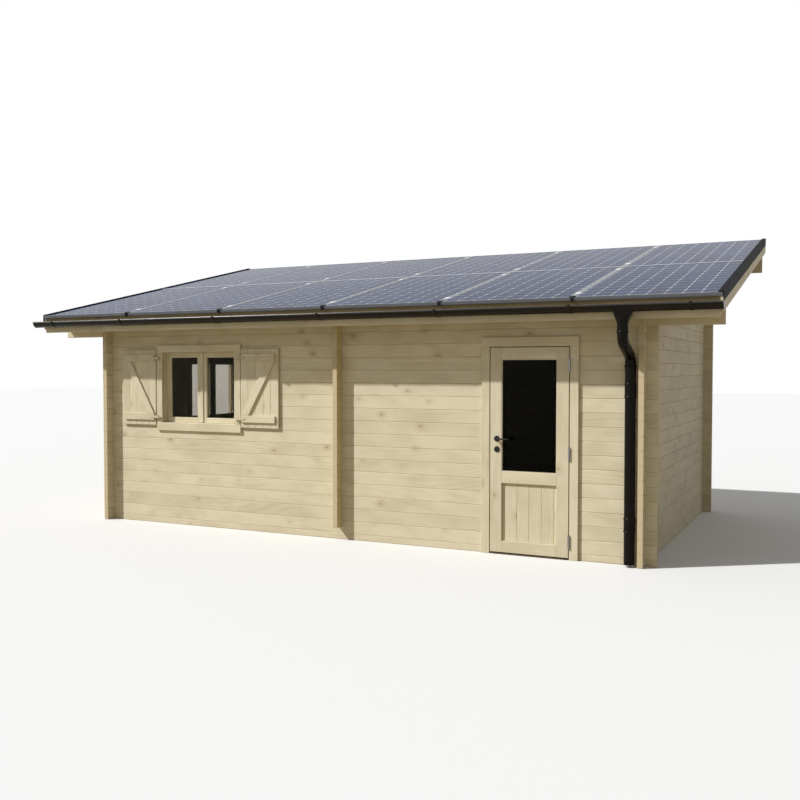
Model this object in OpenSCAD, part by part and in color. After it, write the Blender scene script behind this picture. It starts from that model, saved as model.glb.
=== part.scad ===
// Garden shed of interlocked logs with a single-slope roof of photovoltaic panels.
// X runs along the front wall, Y from the front wall to the rear, Z up from the ground.
// The origin is under the middle of the front wall.

/* [Logs] */
// Height of one log, joint to joint
log_h = 120; // [100:1:140]
// Thickness of a log
log_t = 45; // [34:1:60]
// Length of the log ends beyond the crossing wall
log_end = 95; // [60:1:140]
// Depth of the V along each log joint
groove = 4; // [3:0.5:9]
// Least wood over the rear purlin's closed notches
notch_cover = 10; // [6:1:14]
// Side clearance where one log is notched round another
notch_gap = 0.5; // [0.2:0.1:2]

/* [Building] */
// Width over the side walls
wall_w = 5760; // [5500:10:6100]
// Depth over the front and rear walls
wall_d = 3360; // [3100:10:3700]
// Whole logs in the front wall, above the half log at its foot
front_logs = 17; // [17:1:19]
// Slope of the roof in degrees
pitch = 13; // [10:0.5:16]

/* [Door] */
// Distance of the doorway's middle from the right wall's outer face
door_in = 992; // [900:1:1200]
// Whole logs beside the doorway, above the half log
door_logs = 15; // [14:1:15]
// Width of the door leaf
leaf_w = 706; // [650:1:780]
// Thickness of the door leaf
leaf_t = 40; // [36:1:48]
// Height of the leaf's foot above the ground
leaf_up = 18; // [16:1:30]
// Clearance round the leaf
leaf_gap = 8; // [6:0.5:12]
// How far the leaf stands proud of the casing
leaf_proud = 0; // [0:1:4]
// Width of the leaf's stiles
stile_w = 105; // [90:1:130]
// Height of the leaf's top, middle and bottom rails
rail_h = 103; // [90:1:130]
// Height of the leaf's boarded lower panel
panel_h = 508; // [400:1:600]
// Boards in the lower panel
panel_boards = 5; // [3:1:7]
// Depth of the V between boards
board_groove = 3; // [2:0.5:4]
// Depth that the lower panel is set in outside
panel_recess = 20; // [12:1:22]
// Depth that the lower panel is set in inside
panel_back_in = 8; // [4:1:12]
// Thickness of the door's and windows' glass
glass_t = 14; // [8:1:18]
// Clearance of the glass in its frame
glass_gap = 0.3; // [0.1:0.1:0.6]
// Thickness of the lining beside the leaf
lining_t = 28; // [20:1:40]
// Thickness of the lining over the leaf
head_t = 36; // [28:1:44]
// Overlap of the leaf on the stop behind it
stop_lap = 20; // [14:1:26]
// Depth of the stop behind the inner face of the wall
stop_back = 12; // [4:1:20]
// Thickness of the door's and windows' casing boards
casing_t = 22; // [16:1:28]
// Overlap of the door's casing on the wall
casing_lap = 47; // [30:1:60]
// Height of the threshold
sill_h = 10; // [6:1:12]

/* [Door furniture] */
// Height of the lever's axis above the ground
lever_z = 1018; // [950:1:1080]
// Distance of the lever's axis from the leaf's free edge
lever_in = 62; // [56:1:75]
// Length of the lever from its axis
lever_len = 128; // [110:1:150]
// Radius of the lever's bar
lever_r = 9; // [7:0.5:11]
// Distance of the bar's middle from the face of the leaf
lever_out = 48; // [40:1:60]
// Radius of the round roses
rose_r = 26; // [22:1:30]
// Thickness of the roses
rose_t = 8; // [5:1:12]
// Drop from the lever to the lock's rose
lock_drop = 93; // [72:1:110]
// Radius of the hinges' knuckles
knuckle_r = 8; // [6:0.5:9]
// Length of a hinge's two knuckles together
knuckle_h = 112; // [80:1:120]
// Radius of the hinges' pins
pin_r = 4; // [3:0.5:5]
// Running clearance at the pins, spindle and knuckles
pin_gap = 0.3; // [0.1:0.1:0.5]
// Thickness of the hinges' plates
plate_t = 3; // [2:0.5:4]
// Reach of the hinges' plates along the leaf's edge
plate_in = 28; // [20:1:34]
// Height of the lowest hinge's middle above the leaf's foot
hinge_low = 140; // [100:1:200]
// Depth of the highest hinge's middle below the leaf's top
hinge_high = 153; // [100:1:200]

/* [Windows] */
// Width of the opening cut in the logs
window_w = 972; // [900:1:1020]
// Logs in the height of a window's opening
window_logs = 7; // [6:1:7]
// Logs below a window
sill_logs = 8; // [7:1:8]
// Width of the casing boards beside a window
board_w = 74; // [60:1:84]
// Height of the casing board over a window
board_top = 75; // [60:1:90]
// Height of the casing board under a window
board_low = 83; // [60:1:100]
// Overlap of the window's casing on the wall at each side
lap_side = 50; // [40:1:56]
// Overlap of the window's casing on the wall above
lap_top = 20; // [10:1:40]
// Overlap of the window's casing on the wall below
lap_low = 35; // [20:1:50]
// Clearance of the frame in the opening and of a sash in its frame
frame_gap = 0.5; // [0.2:0.1:0.8]
// Distance of the sashes behind the face of the casing
sash_in = 77; // [60:1:90]
// Thickness of the sashes
sash_t = 36; // [28:1:44]
// Width of the sashes' stiles and rails
sash_w = 55; // [45:1:65]

/* [Shutters] */
// Distance of the open left shutter's free edge from the left wall
shutter_clear = 168; // [120:1:240]
// Distance of a shut shutter's hinge edge from the casing's edge
shutter_in = 81; // [76:1:110]
// Height of a shutter
shutter_h = 794; // [740:1:820]
// Thickness of the shutters' boards
shutter_t = 20; // [16:1:24]
// Boards in a shutter
shutter_boards = 5; // [4:1:6]
// Height of the shutters' battens and width of their braces
ledge_h = 70; // [60:1:80]
// Thickness of the shutters' battens and braces
ledge_t = 18; // [14:1:22]
// How far the battens stop short of a shutter's free edge
ledge_short = 35; // [20:1:50]
// How far the battens stop short of a shutter's hinge edge
ledge_start = 15; // [0:1:25]
// Distance from a shutter's top or foot to its batten
ledge_in = 54; // [40:1:70]
// Distance of an open shutter from the wall
shutter_off = 6; // [5:0.5:10]
// Gap between the two shutters when they are shut
meet_gap = 10; // [6:1:16]
// Gap between an open shutter and the casing
shutter_gap = 8; // [6:0.5:12]
// Length of a shutter's hinge strap on the batten
strap_len = 60; // [50:1:120]
// Height of a shutter's hinge strap
strap_h = 25; // [24:1:40]

/* [Roof] */
// Reach of the roof beyond the side walls
verge_out = 630; // [500:5:700]
// Reach of the fascia in front of the front wall
front_out = 312; // [260:1:360]
// Reach of the rear fascia behind the rear wall
rear_out = 118; // [112:1:160]
// Width of the rafters
rafter_w = 60; // [45:1:80]
// Height of the rafters
rafter_h = 95; // [80:1:120]
// Rafters between the two that lie on the side walls
inner_rafters = 7; // [5:1:9]
// Thickness of the roof boards
deck_t = 20; // [16:1:28]
// Thickness of the fascias and barge boards
fascia_t = 22; // [18:1:28]
// Drop of the front fascia below the rafters
fascia_drop = 4; // [0:1:20]
// Height of the barge boards' lower edge over the rafters' underside
barge_up = 30; // [10:1:50]
// Height of the battens under the panels
batten_h = 35; // [25:1:45]
// Width of the battens under the panels
batten_w = 60; // [45:1:80]

/* [Panels] */
// Columns of panels
columns = 6; // [5:1:7]
// Distance of the outer panels from the barge boards' outer faces
panel_edge = 6; // [4:0.5:12]
// Distance of the panels from the rear fascia's outer face
panel_back = 18; // [10:1:30]
// Gap between neighbouring panels
panel_gap = 24; // [18:1:28]
// Thickness of a panel's frame
panel_t = 30; // [28:1:40]
// Width of a panel frame's face
rim_w = 14; // [10:1:18]
// Width of the frame's foot
rim_foot = 28; // [22:1:34]
// Thickness of the frame's foot and wall
rim_t = 3; // [2:0.5:4]
// Thickness of the glass laminate
laminate_t = 6; // [5:0.5:8]
// Depth of the laminate below the frame's face
laminate_in = 1; // [0.5:0.1:2]
// Reach of the panels over the front fascia
panel_lip = 13; // [0:1:30]
// Distance of the clamps from the ends of a panel
clamp_in = 200; // [150:1:300]
// Length of a clamp
clamp_len = 60; // [40:1:80]
// Thickness of a clamp's cap
clamp_t = 4; // [3:0.5:6]
// Width of a clamp's cap
clamp_w = 46; // [40:1:56]

/* [Verge flashing] */
// Thickness of the folded sheet
flash_t = 3; // [2:0.5:4]
// Height of the flashing over the panels
flash_up = 8; // [4:1:40]
// Height of the flashing's outer face
flash_h = 76; // [60:1:100]
// Width of the flashing's top
flash_w = 42; // [30:1:60]

/* [Gutter] */
// Outer radius of the half-round gutter
gutter_r = 54; // [48:1:62]
// Thickness of the gutter and pipes
pipe_t = 2; // [1.5:0.5:3]
// Height of the gutter's rim below the front edge of the panels
rim_drop = 79; // [70:1:90]
// Reach of the gutter's left end beyond the barge board
gutter_left = 47; // [20:1:70]
// Reach of the gutter's right end beyond the barge board
gutter_right = 10; // [4:1:30]
// Thickness of the gutter's end caps
cap_t = 3; // [2:0.5:5]
// Width of the brackets' straps
strap_w = 25; // [20:1:35]
// Thickness of the brackets' straps
strap_t = 3; // [2:0.5:5]
// Brackets between the two end ones
inner_brackets = 5; // [3:1:7]
// Distance of the end brackets from the barge boards
bracket_in = 225; // [100:5:300]

/* [Downpipe] */
// Distance of the downpipe's axis from the right wall's outer face
pipe_in = 115; // [110:1:170]
// Outer radius of the downpipe
pipe_r = 44; // [40:1:46]
// Gap between the downpipe and the wall
pipe_off = 22; // [18:1:30]
// Height of the downpipe's foot above the ground
pipe_foot = 20; // [10:1:60]
// Length of the outlet below the gutter
outlet_len = 170; // [150:1:200]
// Height of the outlet's funnel below the gutter
funnel_h = 92; // [70:1:110]
// Half the length of the funnel along the gutter's underside
funnel_r = 78; // [66:1:86]
// Radius of the swan neck's bends
bend_r = 90; // [80:1:110]
// Turn of each of the swan neck's bends in degrees
bend_turn = 68; // [60:1:75]
// Length of the sockets at the pipe's joints
socket_len = 45; // [35:1:60]
// Height of the upper pipe clip's middle
clip_high = 1452; // [1200:1:1500]
// Height of the lower pipe clip's middle
clip_low = 346; // [200:1:600]
// Height of a pipe clip's sleeve
clip_h = 104; // [60:1:120]
// Height of a pipe clip's foot on the wall
clip_foot = 30; // [20:1:40]

/* [Hidden] */
$fn = 48;

PINE = [0.85, 0.77, 0.60];
PINE_DARK = [0.72, 0.60, 0.42];
STEEL = [0.62, 0.63, 0.64];
BLACK = [0.08, 0.08, 0.09];
BROWN = [0.17, 0.14, 0.12];
PANEL_BLUE = [0.13, 0.17, 0.24];
ALUMINIUM = [0.70, 0.71, 0.72];
GLASS = [0.55, 0.65, 0.68, 0.4];

// Walls
quarter = log_h / 4;
face_y = -log_t / 2;
front_top = log_h / 2 + front_logs * log_h;
side_x = wall_w / 2 - log_t / 2;
rear_y = wall_d - log_t;
front_end = wall_w / 2 + log_end;
side_start = face_y - log_end;
side_stop = wall_d + face_y + log_end;
rise = tan(pitch);
side_top = front_top + rise * (wall_d + log_end);
rear_top = front_top + rise * wall_d;
rear_logs = floor((rear_top - log_t * rise - notch_cover - 7 * quarter) / log_h);
rear_joint = log_h / 2 + rear_logs * log_h;
purlin_end = wall_w / 2 + verge_out - fascia_t;
top_joint = front_top - log_h;
over = 1;

// Door
door_x = wall_w / 2 - door_in;
door_top = log_h / 2 + door_logs * log_h;
open_half = leaf_w / 2 + leaf_gap + lining_t;
leaf_top = door_top - head_t - leaf_gap;
leaf_h = leaf_top - leaf_up;
casing_y = face_y - casing_t;
leaf_y = casing_y - leaf_proud;
stop_y = leaf_y + leaf_t + leaf_gap - 2;
lining_back = log_t / 2 + stop_back;
stop_half = leaf_w / 2 - stop_lap;
leaf_left = door_x - leaf_w / 2;
leaf_right = door_x + leaf_w / 2;
field_w = leaf_w - 2 * stile_w;
panel_z = leaf_up + rail_h;
pane_z = panel_z + panel_h + rail_h;
pane_h = leaf_top - rail_h - pane_z;
lever_x = leaf_left + lever_in;
hinge_up = [hinge_low, (hinge_low + leaf_h - hinge_high) / 2, leaf_h - hinge_high];
hinge_x = leaf_right + leaf_gap / 2;
hinge_y = leaf_y - knuckle_r - pin_gap;

// Windows and shutters
window_y = wall_d / 2;
front_sill = log_h / 2 + sill_logs * log_h;
side_sill = sill_logs * log_h;
window_h = window_logs * log_h;
clear_w = window_w + 2 * lap_side - 2 * board_w;
clear_low = board_low - lap_low;
clear_h = window_h + lap_top + lap_low - board_top - board_low;
sash_y = casing_y + sash_in;
sash_each = clear_w / 2 - 1.5 * frame_gap;
sash_h = clear_h - 2 * frame_gap;
frame_back = sash_y + sash_t;
casing_half = window_w / 2 + lap_side;
shutter_z = front_sill + clear_low + clear_h / 2 - shutter_h / 2;
shutter_w = casing_half - shutter_in - meet_gap / 2;
window_x = log_t - wall_w / 2 + shutter_clear + shutter_w + shutter_gap + casing_half;
pintle_half = (casing_half + shutter_gap + shutter_w + meet_gap / 2) / 2;
shutter_edge = casing_half + shutter_gap - pintle_half;
ledge_face = -(knuckle_r - plate_t);
board_face = ledge_face + ledge_t;
pintle_out = board_face + shutter_t + shutter_off;
pintle_y = face_y - pintle_out;
strap_z = [shutter_z + ledge_in + ledge_h / 2, shutter_z + shutter_h - ledge_in - ledge_h / 2];

// Roof, measured square to the slope from the rafters' underside
deck_low = rafter_h;
deck_top = deck_low + deck_t;
panel_low = deck_top + batten_h;
panel_top = panel_low + panel_t;
verge_x = wall_w / 2 + verge_out;
eaves_y = face_y - front_out;
ridge_y = wall_d + face_y + rear_out;
array_start = (panel_top * sin(pitch) - front_out - panel_lip) / cos(pitch);
array_stop = (panel_low * sin(pitch) + wall_d + rear_out - panel_back) / cos(pitch);
array_len = array_stop - array_start;
panel_len = (array_len - panel_gap) / 2;
row_len = panel_len + panel_gap;
column_pitch = (2 * (verge_x - panel_edge) + panel_gap) / columns;
panel_w = column_pitch - panel_gap;
lip_y = face_y - front_out - panel_lip;
lip_z = front_top + (lip_y - face_y) * rise + panel_top / cos(pitch);

// Gutter and pipes
gutter_y = eaves_y - strap_t - gutter_r;
gutter_z = lip_z - rim_drop;
pipe_x = wall_w / 2 - pipe_in;
pipe_y = face_y - pipe_off - pipe_r;
outlet_low = gutter_z - gutter_r - outlet_len;
bend_side = bend_r * (1 - cos(bend_turn));
bend_down = bend_r * sin(bend_turn);
neck_run = (pipe_y - gutter_y - 2 * bend_side) / sin(bend_turn);
neck_low = outlet_low - 2 * bend_down - neck_run * cos(bend_turn);
socket_r = pipe_r + pipe_t + pin_gap;

// Outline across a stack of logs with a V on both faces at every joint
function joints(low, high, first) = concat(
    [low], [for (z = first; z < high - groove; z = z + log_h) if (z > low + groove) z], [high]);
function stack(j) = concat(
    [for (i = [0 : len(j) - 2], p = [[groove, j[i]], [0, j[i] + groove], [0, j[i + 1] - groove]])
        [p[0] - log_t / 2, p[1]]],
    [[groove - log_t / 2, j[len(j) - 1]], [log_t / 2 - groove, j[len(j) - 1]]],
    [for (i = [len(j) - 1 : -1 : 1],
          p = [[0, j[i] - groove], [0, j[i - 1] + groove], [groove, j[i - 1]]])
        [log_t / 2 - p[0], p[1]]]);

// Logs that lie along X, with joints half a log off those of the side walls
module cross_logs(x0, x1, low, high) {
    translate([x0, 0, 0])
        rotate([90, 0, 90])
            linear_extrude(x1 - x0)
                polygon(stack(joints(low, high, log_h / 2)));
}

// Logs that lie along Y
module depth_logs(y0, y1, low, high) {
    translate([0, y1, 0])
        rotate([90, 0, 0])
            linear_extrude(y1 - y0)
                polygon(stack(joints(low, high, log_h)));
}

// Notches in the X logs that take the Y logs crossing them
module cross_notches(x, first, high) {
    width = log_t + 2 * notch_gap;
    for (z = [first * log_h + quarter : log_h : high])
        translate([x - width / 2, -log_t, z])
            cube([width, 2 * log_t, 2 * quarter]);
}

// Notches in the Y logs that take the X logs crossing them
module depth_notches(y, high) {
    width = log_t + 2 * notch_gap;
    for (z = [-quarter : log_h : high])
        translate([-log_t, y - width / 2, z])
            cube([2 * log_t, width, 2 * quarter]);
}

// Places things on the roof's slope, from the front wall's top outer edge
module on_roof() {
    translate([0, face_y, front_top])
        rotate([pitch, 0, 0])
            children();
}

// All that lies over a plane at the given height on the slope
module over_roof(height) {
    on_roof()
        translate([-wall_w, -wall_d, height])
            cube([2 * wall_w, 3 * wall_d, wall_d]);
}

// Keeps what lies between two upright planes across the roof
module plumb_cut(y0, y1) {
    intersection() {
        children();
        translate([-wall_w, y0, 0])
            cube([2 * wall_w, y1 - y0, 2 * side_top]);
    }
}

module front_wall_lower() {
    color(PINE)
        difference() {
            cross_logs(-front_end, door_x - open_half, 0, front_sill);
            cross_notches(-side_x, 0, front_sill);
            cross_notches(0, 1, front_sill);
        }
}

module front_wall_left() {
    color(PINE)
        difference() {
            cross_logs(-front_end, window_x - window_w / 2, front_sill, door_top);
            cross_notches(-side_x, 0, door_top);
        }
}

module front_wall_middle() {
    color(PINE)
        difference() {
            cross_logs(window_x + window_w / 2, door_x - open_half, front_sill, door_top);
            cross_notches(0, 0, door_top);
        }
}

module front_wall_right() {
    color(PINE)
        difference() {
            cross_logs(door_x + open_half, front_end, 0, door_top);
            cross_notches(side_x, 0, door_top);
        }
}

module front_wall_top() {
    color(PINE)
        difference() {
            cross_logs(-front_end, front_end, door_top, top_joint);
            for (x = [-side_x, 0, side_x])
                cross_notches(x, 0, top_joint);
        }
}

module front_purlin() {
    color(PINE)
        difference() {
            cross_logs(-purlin_end, purlin_end, top_joint, front_top + log_t);
            for (x = [-side_x, 0, side_x])
                cross_notches(x, 0, front_top);
            over_roof(0);
        }
}

module rear_wall() {
    color(PINE)
        translate([0, rear_y, 0])
            difference() {
                cross_logs(-front_end, front_end, 0, rear_joint);
                for (x = [-side_x, side_x])
                    cross_notches(x, 0, rear_joint);
                cross_notches(0, 1, rear_joint);
            }
}

module rear_purlin() {
    color(PINE)
        difference() {
            translate([0, rear_y, 0])
                difference() {
                    cross_logs(-purlin_end, purlin_end, rear_joint, rear_joint + 3 * log_h);
                    for (x = [-side_x, 0, side_x])
                        cross_notches(x, 0, side_top);
                }
            over_roof(0);
        }
}

module right_wall() {
    color(PINE)
        difference() {
            translate([side_x, 0, 0])
                difference() {
                    depth_logs(side_start, side_stop, 0, side_top);
                    for (y = [0, rear_y])
                        depth_notches(y, side_top);
                }
            over_roof(0);
        }
}

module left_wall_lower() {
    color(PINE)
        translate([-side_x, 0, 0])
            difference() {
                depth_logs(side_start, side_stop, 0, side_sill);
                for (y = [0, rear_y])
                    depth_notches(y, side_sill);
            }
}

module left_wall_front() {
    color(PINE)
        translate([-side_x, 0, 0])
            difference() {
                depth_logs(side_start, window_y - window_w / 2, side_sill, side_sill + window_h);
                depth_notches(0, side_sill + window_h);
            }
}

module left_wall_rear() {
    color(PINE)
        translate([-side_x, 0, 0])
            difference() {
                depth_logs(window_y + window_w / 2, side_stop, side_sill, side_sill + window_h);
                depth_notches(rear_y, side_sill + window_h);
            }
}

module left_wall_top() {
    color(PINE)
        difference() {
            translate([-side_x, 0, 0])
                difference() {
                    depth_logs(side_start, side_stop, side_sill + window_h, side_top);
                    for (y = [0, rear_y])
                        depth_notches(y, side_top);
                }
            over_roof(0);
        }
}

// Short logs that cross a long wall at its middle and stiffen it
module stub_logs(y) {
    color(PINE)
        difference() {
            depth_logs(y - log_t / 2 - log_end, y + log_t / 2 + log_end, log_h, side_top);
            depth_notches(y, side_top);
            over_roof(0);
        }
}

module front_stub_logs() {
    stub_logs(0);
}

module rear_stub_logs() {
    stub_logs(rear_y);
}

// Casing, lining and stop at the left of the doorway
module door_jamb() {
    color(PINE)
        union() {
            linear_extrude(leaf_top + leaf_gap)
                polygon([
                    [-open_half - casing_lap, casing_y], [-leaf_w / 2 - leaf_gap, casing_y],
                    [-leaf_w / 2 - leaf_gap, stop_y], [-open_half, stop_y],
                    [-open_half, face_y], [-open_half - casing_lap, face_y]]);
            linear_extrude(leaf_top - stop_lap)
                polygon([
                    [-open_half, stop_y], [-stop_half, stop_y],
                    [-stop_half, lining_back], [-open_half, lining_back]]);
        }
}

module door_jamb_left() {
    translate([door_x, 0, 0])
        door_jamb();
}

module door_jamb_right() {
    translate([door_x, 0, 0])
        mirror([1, 0, 0])
            door_jamb();
}

module door_head() {
    low = leaf_top + leaf_gap;
    color(PINE)
        translate([door_x, 0, 0])
            union() {
                translate([-open_half - casing_lap, casing_y, low])
                    cube([2 * (open_half + casing_lap), casing_t, door_top + casing_lap - low]);
                translate([-open_half, face_y, low])
                    cube([2 * open_half, stop_y - face_y, door_top - low]);
                translate([-open_half, stop_y, leaf_top - stop_lap])
                    cube([2 * open_half, lining_back - stop_y, door_top - leaf_top + stop_lap]);
            }
}

module door_threshold() {
    color(PINE_DARK)
        translate([door_x - stop_half, casing_y, 0])
            cube([2 * stop_half, lining_back - casing_y, sill_h]);
}

// One upright V between two boards, cut into a face that looks towards -Y
module board_v(height) {
    linear_extrude(height)
        polygon([[-board_groove, -over], [board_groove, -over], [board_groove, 0], [0, board_groove],
                 [-board_groove, 0]]);
}

// Recess of the boarded panel in the face of the leaf that looks towards -Y
module panel_sinking(recess) {
    board = field_w / panel_boards;
    translate([stile_w, -over, panel_z])
        cube([field_w, recess + over, panel_h]);
    for (i = [1 : panel_boards - 1])
        translate([stile_w + i * board, recess, panel_z])
            board_v(panel_h);
}

module door_leaf() {
    color(PINE)
        difference() {
            translate([leaf_left, leaf_y, leaf_up])
                cube([leaf_w, leaf_t, leaf_h]);
            translate([leaf_left + stile_w, leaf_y - over, pane_z])
                cube([field_w, leaf_t + 2 * over, pane_h]);
            translate([leaf_left, leaf_y, 0])
                panel_sinking(panel_recess);
            translate([leaf_left, leaf_y + leaf_t, 0])
                mirror([0, 1, 0])
                    panel_sinking(panel_back_in);
            translate([lever_x, leaf_y - over, lever_z])
                rotate([-90, 0, 0])
                    cylinder(r = lever_r + pin_gap, h = leaf_t + 2 * over);
        }
}

module door_glass() {
    color(GLASS)
        translate([leaf_left + stile_w + glass_gap, leaf_y + (leaf_t - glass_t) / 2, pane_z + glass_gap])
            cube([field_w - 2 * glass_gap, glass_t, pane_h - 2 * glass_gap]);
}

// Levers on both faces and the spindle that joins them
module door_lever() {
    reach = leaf_t / 2 + lever_out;
    color(BLACK)
        translate([lever_x, leaf_y + leaf_t / 2, lever_z])
            union() {
                translate([0, -reach, 0])
                    rotate([-90, 0, 0])
                        cylinder(r = lever_r, h = 2 * reach);
                for (side = [-1, 1])
                    translate([0, side * reach, 0]) {
                        sphere(r = lever_r);
                        rotate([0, 90, 0])
                            cylinder(r = lever_r, h = lever_len - lever_r);
                        translate([lever_len - lever_r, 0, 0])
                            sphere(r = lever_r);
                    }
            }
}

// One round rose with a hole, on a face that looks towards -Y
module rose(hole) {
    rotate([90, 0, 0])
        difference() {
            cylinder(r = rose_r, h = rose_t);
            translate([0, 0, -over])
                cylinder(r = hole, h = rose_t + 2 * over);
        }
}

module door_roses() {
    key_r = 4;
    color(BLACK)
        for (y = [leaf_y, leaf_y + leaf_t + rose_t]) {
            translate([lever_x, y, lever_z])
                rose(lever_r + pin_gap);
            translate([lever_x, y, lever_z - lock_drop])
                rose(key_r);
        }
}

// The upper knuckle of each door hinge and its plate on the leaf's edge
module door_hinge_leaves() {
    half = knuckle_h / 2;
    color(STEEL)
        for (up = hinge_up)
            translate([hinge_x, hinge_y, leaf_up + up])
                difference() {
                    union() {
                        cylinder(r = knuckle_r, h = half);
                        translate([-leaf_gap / 2, 0, 0])
                            cube([plate_t, leaf_y + plate_in - hinge_y, half]);
                    }
                    translate([0, 0, -over])
                        cylinder(r = pin_r + pin_gap, h = half + 2 * over);
                }
}

// The lower knuckle of each door hinge, its pin and its plate on the jamb
module door_hinge_posts() {
    half = knuckle_h / 2;
    color(STEEL)
        for (up = hinge_up)
            translate([hinge_x, hinge_y, leaf_up + up]) {
                translate([0, 0, -half - pin_gap])
                    cylinder(r = knuckle_r, h = half);
                translate([0, 0, -half])
                    cylinder(r = pin_r, h = 2 * half - pin_r);
                translate([leaf_gap / 2 - plate_t, 0, -half - pin_gap])
                    cube([plate_t, leaf_y + plate_in - hinge_y, half]);
            }
}

// Casing boards and lining of a window in a wall that looks towards -Y
module window_frame(sill) {
    color(PINE)
        difference() {
            union() {
                translate([-casing_half, casing_y, sill - lap_low])
                    cube([2 * casing_half, casing_t, window_h + lap_top + lap_low]);
                translate([-window_w / 2 + frame_gap, casing_y, sill + frame_gap])
                    cube([window_w - 2 * frame_gap, frame_back - casing_y, window_h - 2 * frame_gap]);
            }
            translate([-clear_w / 2, casing_y - over, sill + clear_low])
                cube([clear_w, frame_back - casing_y + 2 * over, clear_h]);
        }
}

// The two sashes of a window
module window_sashes(sill) {
    color(PINE)
        for (side = [-1, 1])
            translate([side * (sash_each + frame_gap) / 2, sash_y, sill + clear_low + frame_gap])
                difference() {
                    translate([-sash_each / 2, 0, 0])
                        cube([sash_each, sash_t, sash_h]);
                    translate([-sash_each / 2 + sash_w, -over, sash_w])
                        cube([sash_each - 2 * sash_w, sash_t + 2 * over, sash_h - 2 * sash_w]);
                }
}

// The panes of a window's two sashes
module window_glass(sill) {
    pane_w = sash_each - 2 * sash_w - 2 * glass_gap;
    color(GLASS)
        for (side = [-1, 1])
            translate([
                side * (sash_each + frame_gap) / 2 - pane_w / 2, sash_y + (sash_t - glass_t) / 2,
                sill + clear_low + frame_gap + sash_w + glass_gap])
                cube([pane_w, glass_t, sash_h - 2 * sash_w - 2 * glass_gap]);
}

module in_front_wall() {
    translate([window_x, 0, 0])
        children();
}

module in_left_wall() {
    translate([-side_x, window_y, 0])
        rotate([0, 0, -90])
            children();
}

module front_window_frame() {
    in_front_wall()
        window_frame(front_sill);
}

module front_window_sashes() {
    in_front_wall()
        window_sashes(front_sill);
}

module front_window_glass() {
    in_front_wall()
        window_glass(front_sill);
}

module left_window_frame() {
    in_left_wall()
        window_frame(side_sill);
}

module left_window_sashes() {
    in_left_wall()
        window_sashes(side_sill);
}

module left_window_glass() {
    in_left_wall()
        window_glass(side_sill);
}

// Boards, battens and brace of an open shutter that reaches to +X from its hinge
module shutter() {
    board = shutter_w / shutter_boards;
    low = shutter_z + ledge_in;
    high = shutter_z + shutter_h - ledge_in - ledge_h;
    ledge_stop = shutter_w - ledge_short;
    brace_w = ledge_stop - ledge_start;
    brace_h = high - low - ledge_h;
    slant = ledge_h * sqrt(pow(brace_w, 2) + pow(brace_h, 2)) / brace_h;
    color(PINE)
        translate([shutter_edge, 0, 0])
            union() {
                difference() {
                    translate([0, board_face, shutter_z])
                        cube([shutter_w, shutter_t, shutter_h]);
                    for (i = [1 : shutter_boards - 1])
                        translate([i * board, board_face, shutter_z - over])
                            board_v(shutter_h + 2 * over);
                }
                for (z = [low, high])
                    translate([ledge_start, ledge_face, z])
                        cube([brace_w, ledge_t, ledge_h]);
                translate([0, board_face, 0])
                    rotate([90, 0, 0])
                        linear_extrude(ledge_t)
                            polygon([
                                [ledge_start, low + ledge_h], [ledge_start + slant, low + ledge_h],
                                [ledge_stop, high], [ledge_stop - slant, high]]);
            }
}

// Straps of a shutter's two hinges, with eyes for the pins
module shutter_straps() {
    color(STEEL)
        for (z = strap_z)
            translate([0, 0, z - strap_h / 2])
                difference() {
                    union() {
                        cylinder(r = knuckle_r, h = strap_h);
                        translate([0, -knuckle_r, 0])
                            cube([shutter_edge + strap_len, plate_t, strap_h]);
                    }
                    translate([0, 0, -over])
                        cylinder(r = pin_r + pin_gap, h = strap_h + 2 * over);
                }
}

module at_left_pintle() {
    translate([window_x - pintle_half, pintle_y, 0])
        mirror([1, 0, 0])
            children();
}

module at_right_pintle() {
    translate([window_x + pintle_half, pintle_y, 0])
        children();
}

module left_shutter() {
    at_left_pintle()
        shutter();
}

module right_shutter() {
    at_right_pintle()
        shutter();
}

module left_shutter_straps() {
    at_left_pintle()
        shutter_straps();
}

module right_shutter_straps() {
    at_right_pintle()
        shutter_straps();
}

// Plates and pins on the casing that carry one shutter
module pintle_pair() {
    reach = pintle_out - casing_t;
    for (z = strap_z)
        translate([0, 0, z - strap_h / 2 - pin_gap]) {
            translate([0, 0, -knuckle_r])
                cylinder(r = knuckle_r, h = knuckle_r);
            translate([0, 0, -knuckle_r])
                cylinder(r = pin_r, h = strap_h + knuckle_r);
            translate([-pin_r, 0, -knuckle_r])
                cube([2 * pin_r, reach, knuckle_r]);
            translate([-knuckle_r - plate_t, reach - plate_t, -knuckle_r - strap_h / 2])
                cube([2 * (knuckle_r + plate_t), plate_t, strap_h]);
        }
}

module shutter_pintles() {
    color(STEEL) {
        at_left_pintle()
            pintle_pair();
        at_right_pintle()
            pintle_pair();
    }
}

module rafters() {
    spacing = 2 * side_x / (inner_rafters + 1);
    outer = verge_x - fascia_t - rafter_w / 2;
    color(PINE_DARK)
        plumb_cut(eaves_y + fascia_t, ridge_y - fascia_t)
            on_roof()
                for (x = concat([-outer, outer], [for (i = [0 : inner_rafters + 1]) i * spacing - side_x]))
                    translate([x - rafter_w / 2, -wall_d / 4, 0])
                        cube([rafter_w, 2 * wall_d, rafter_h]);
}

// Board along a verge, on the +X side
module barge_board() {
    color(PINE)
        plumb_cut(eaves_y, ridge_y)
            on_roof()
                translate([verge_x - fascia_t, -wall_d / 4, barge_up])
                    cube([fascia_t, 2 * wall_d, panel_low - barge_up]);
}

module left_barge_board() {
    mirror([1, 0, 0])
        barge_board();
}

module right_barge_board() {
    barge_board();
}

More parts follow.
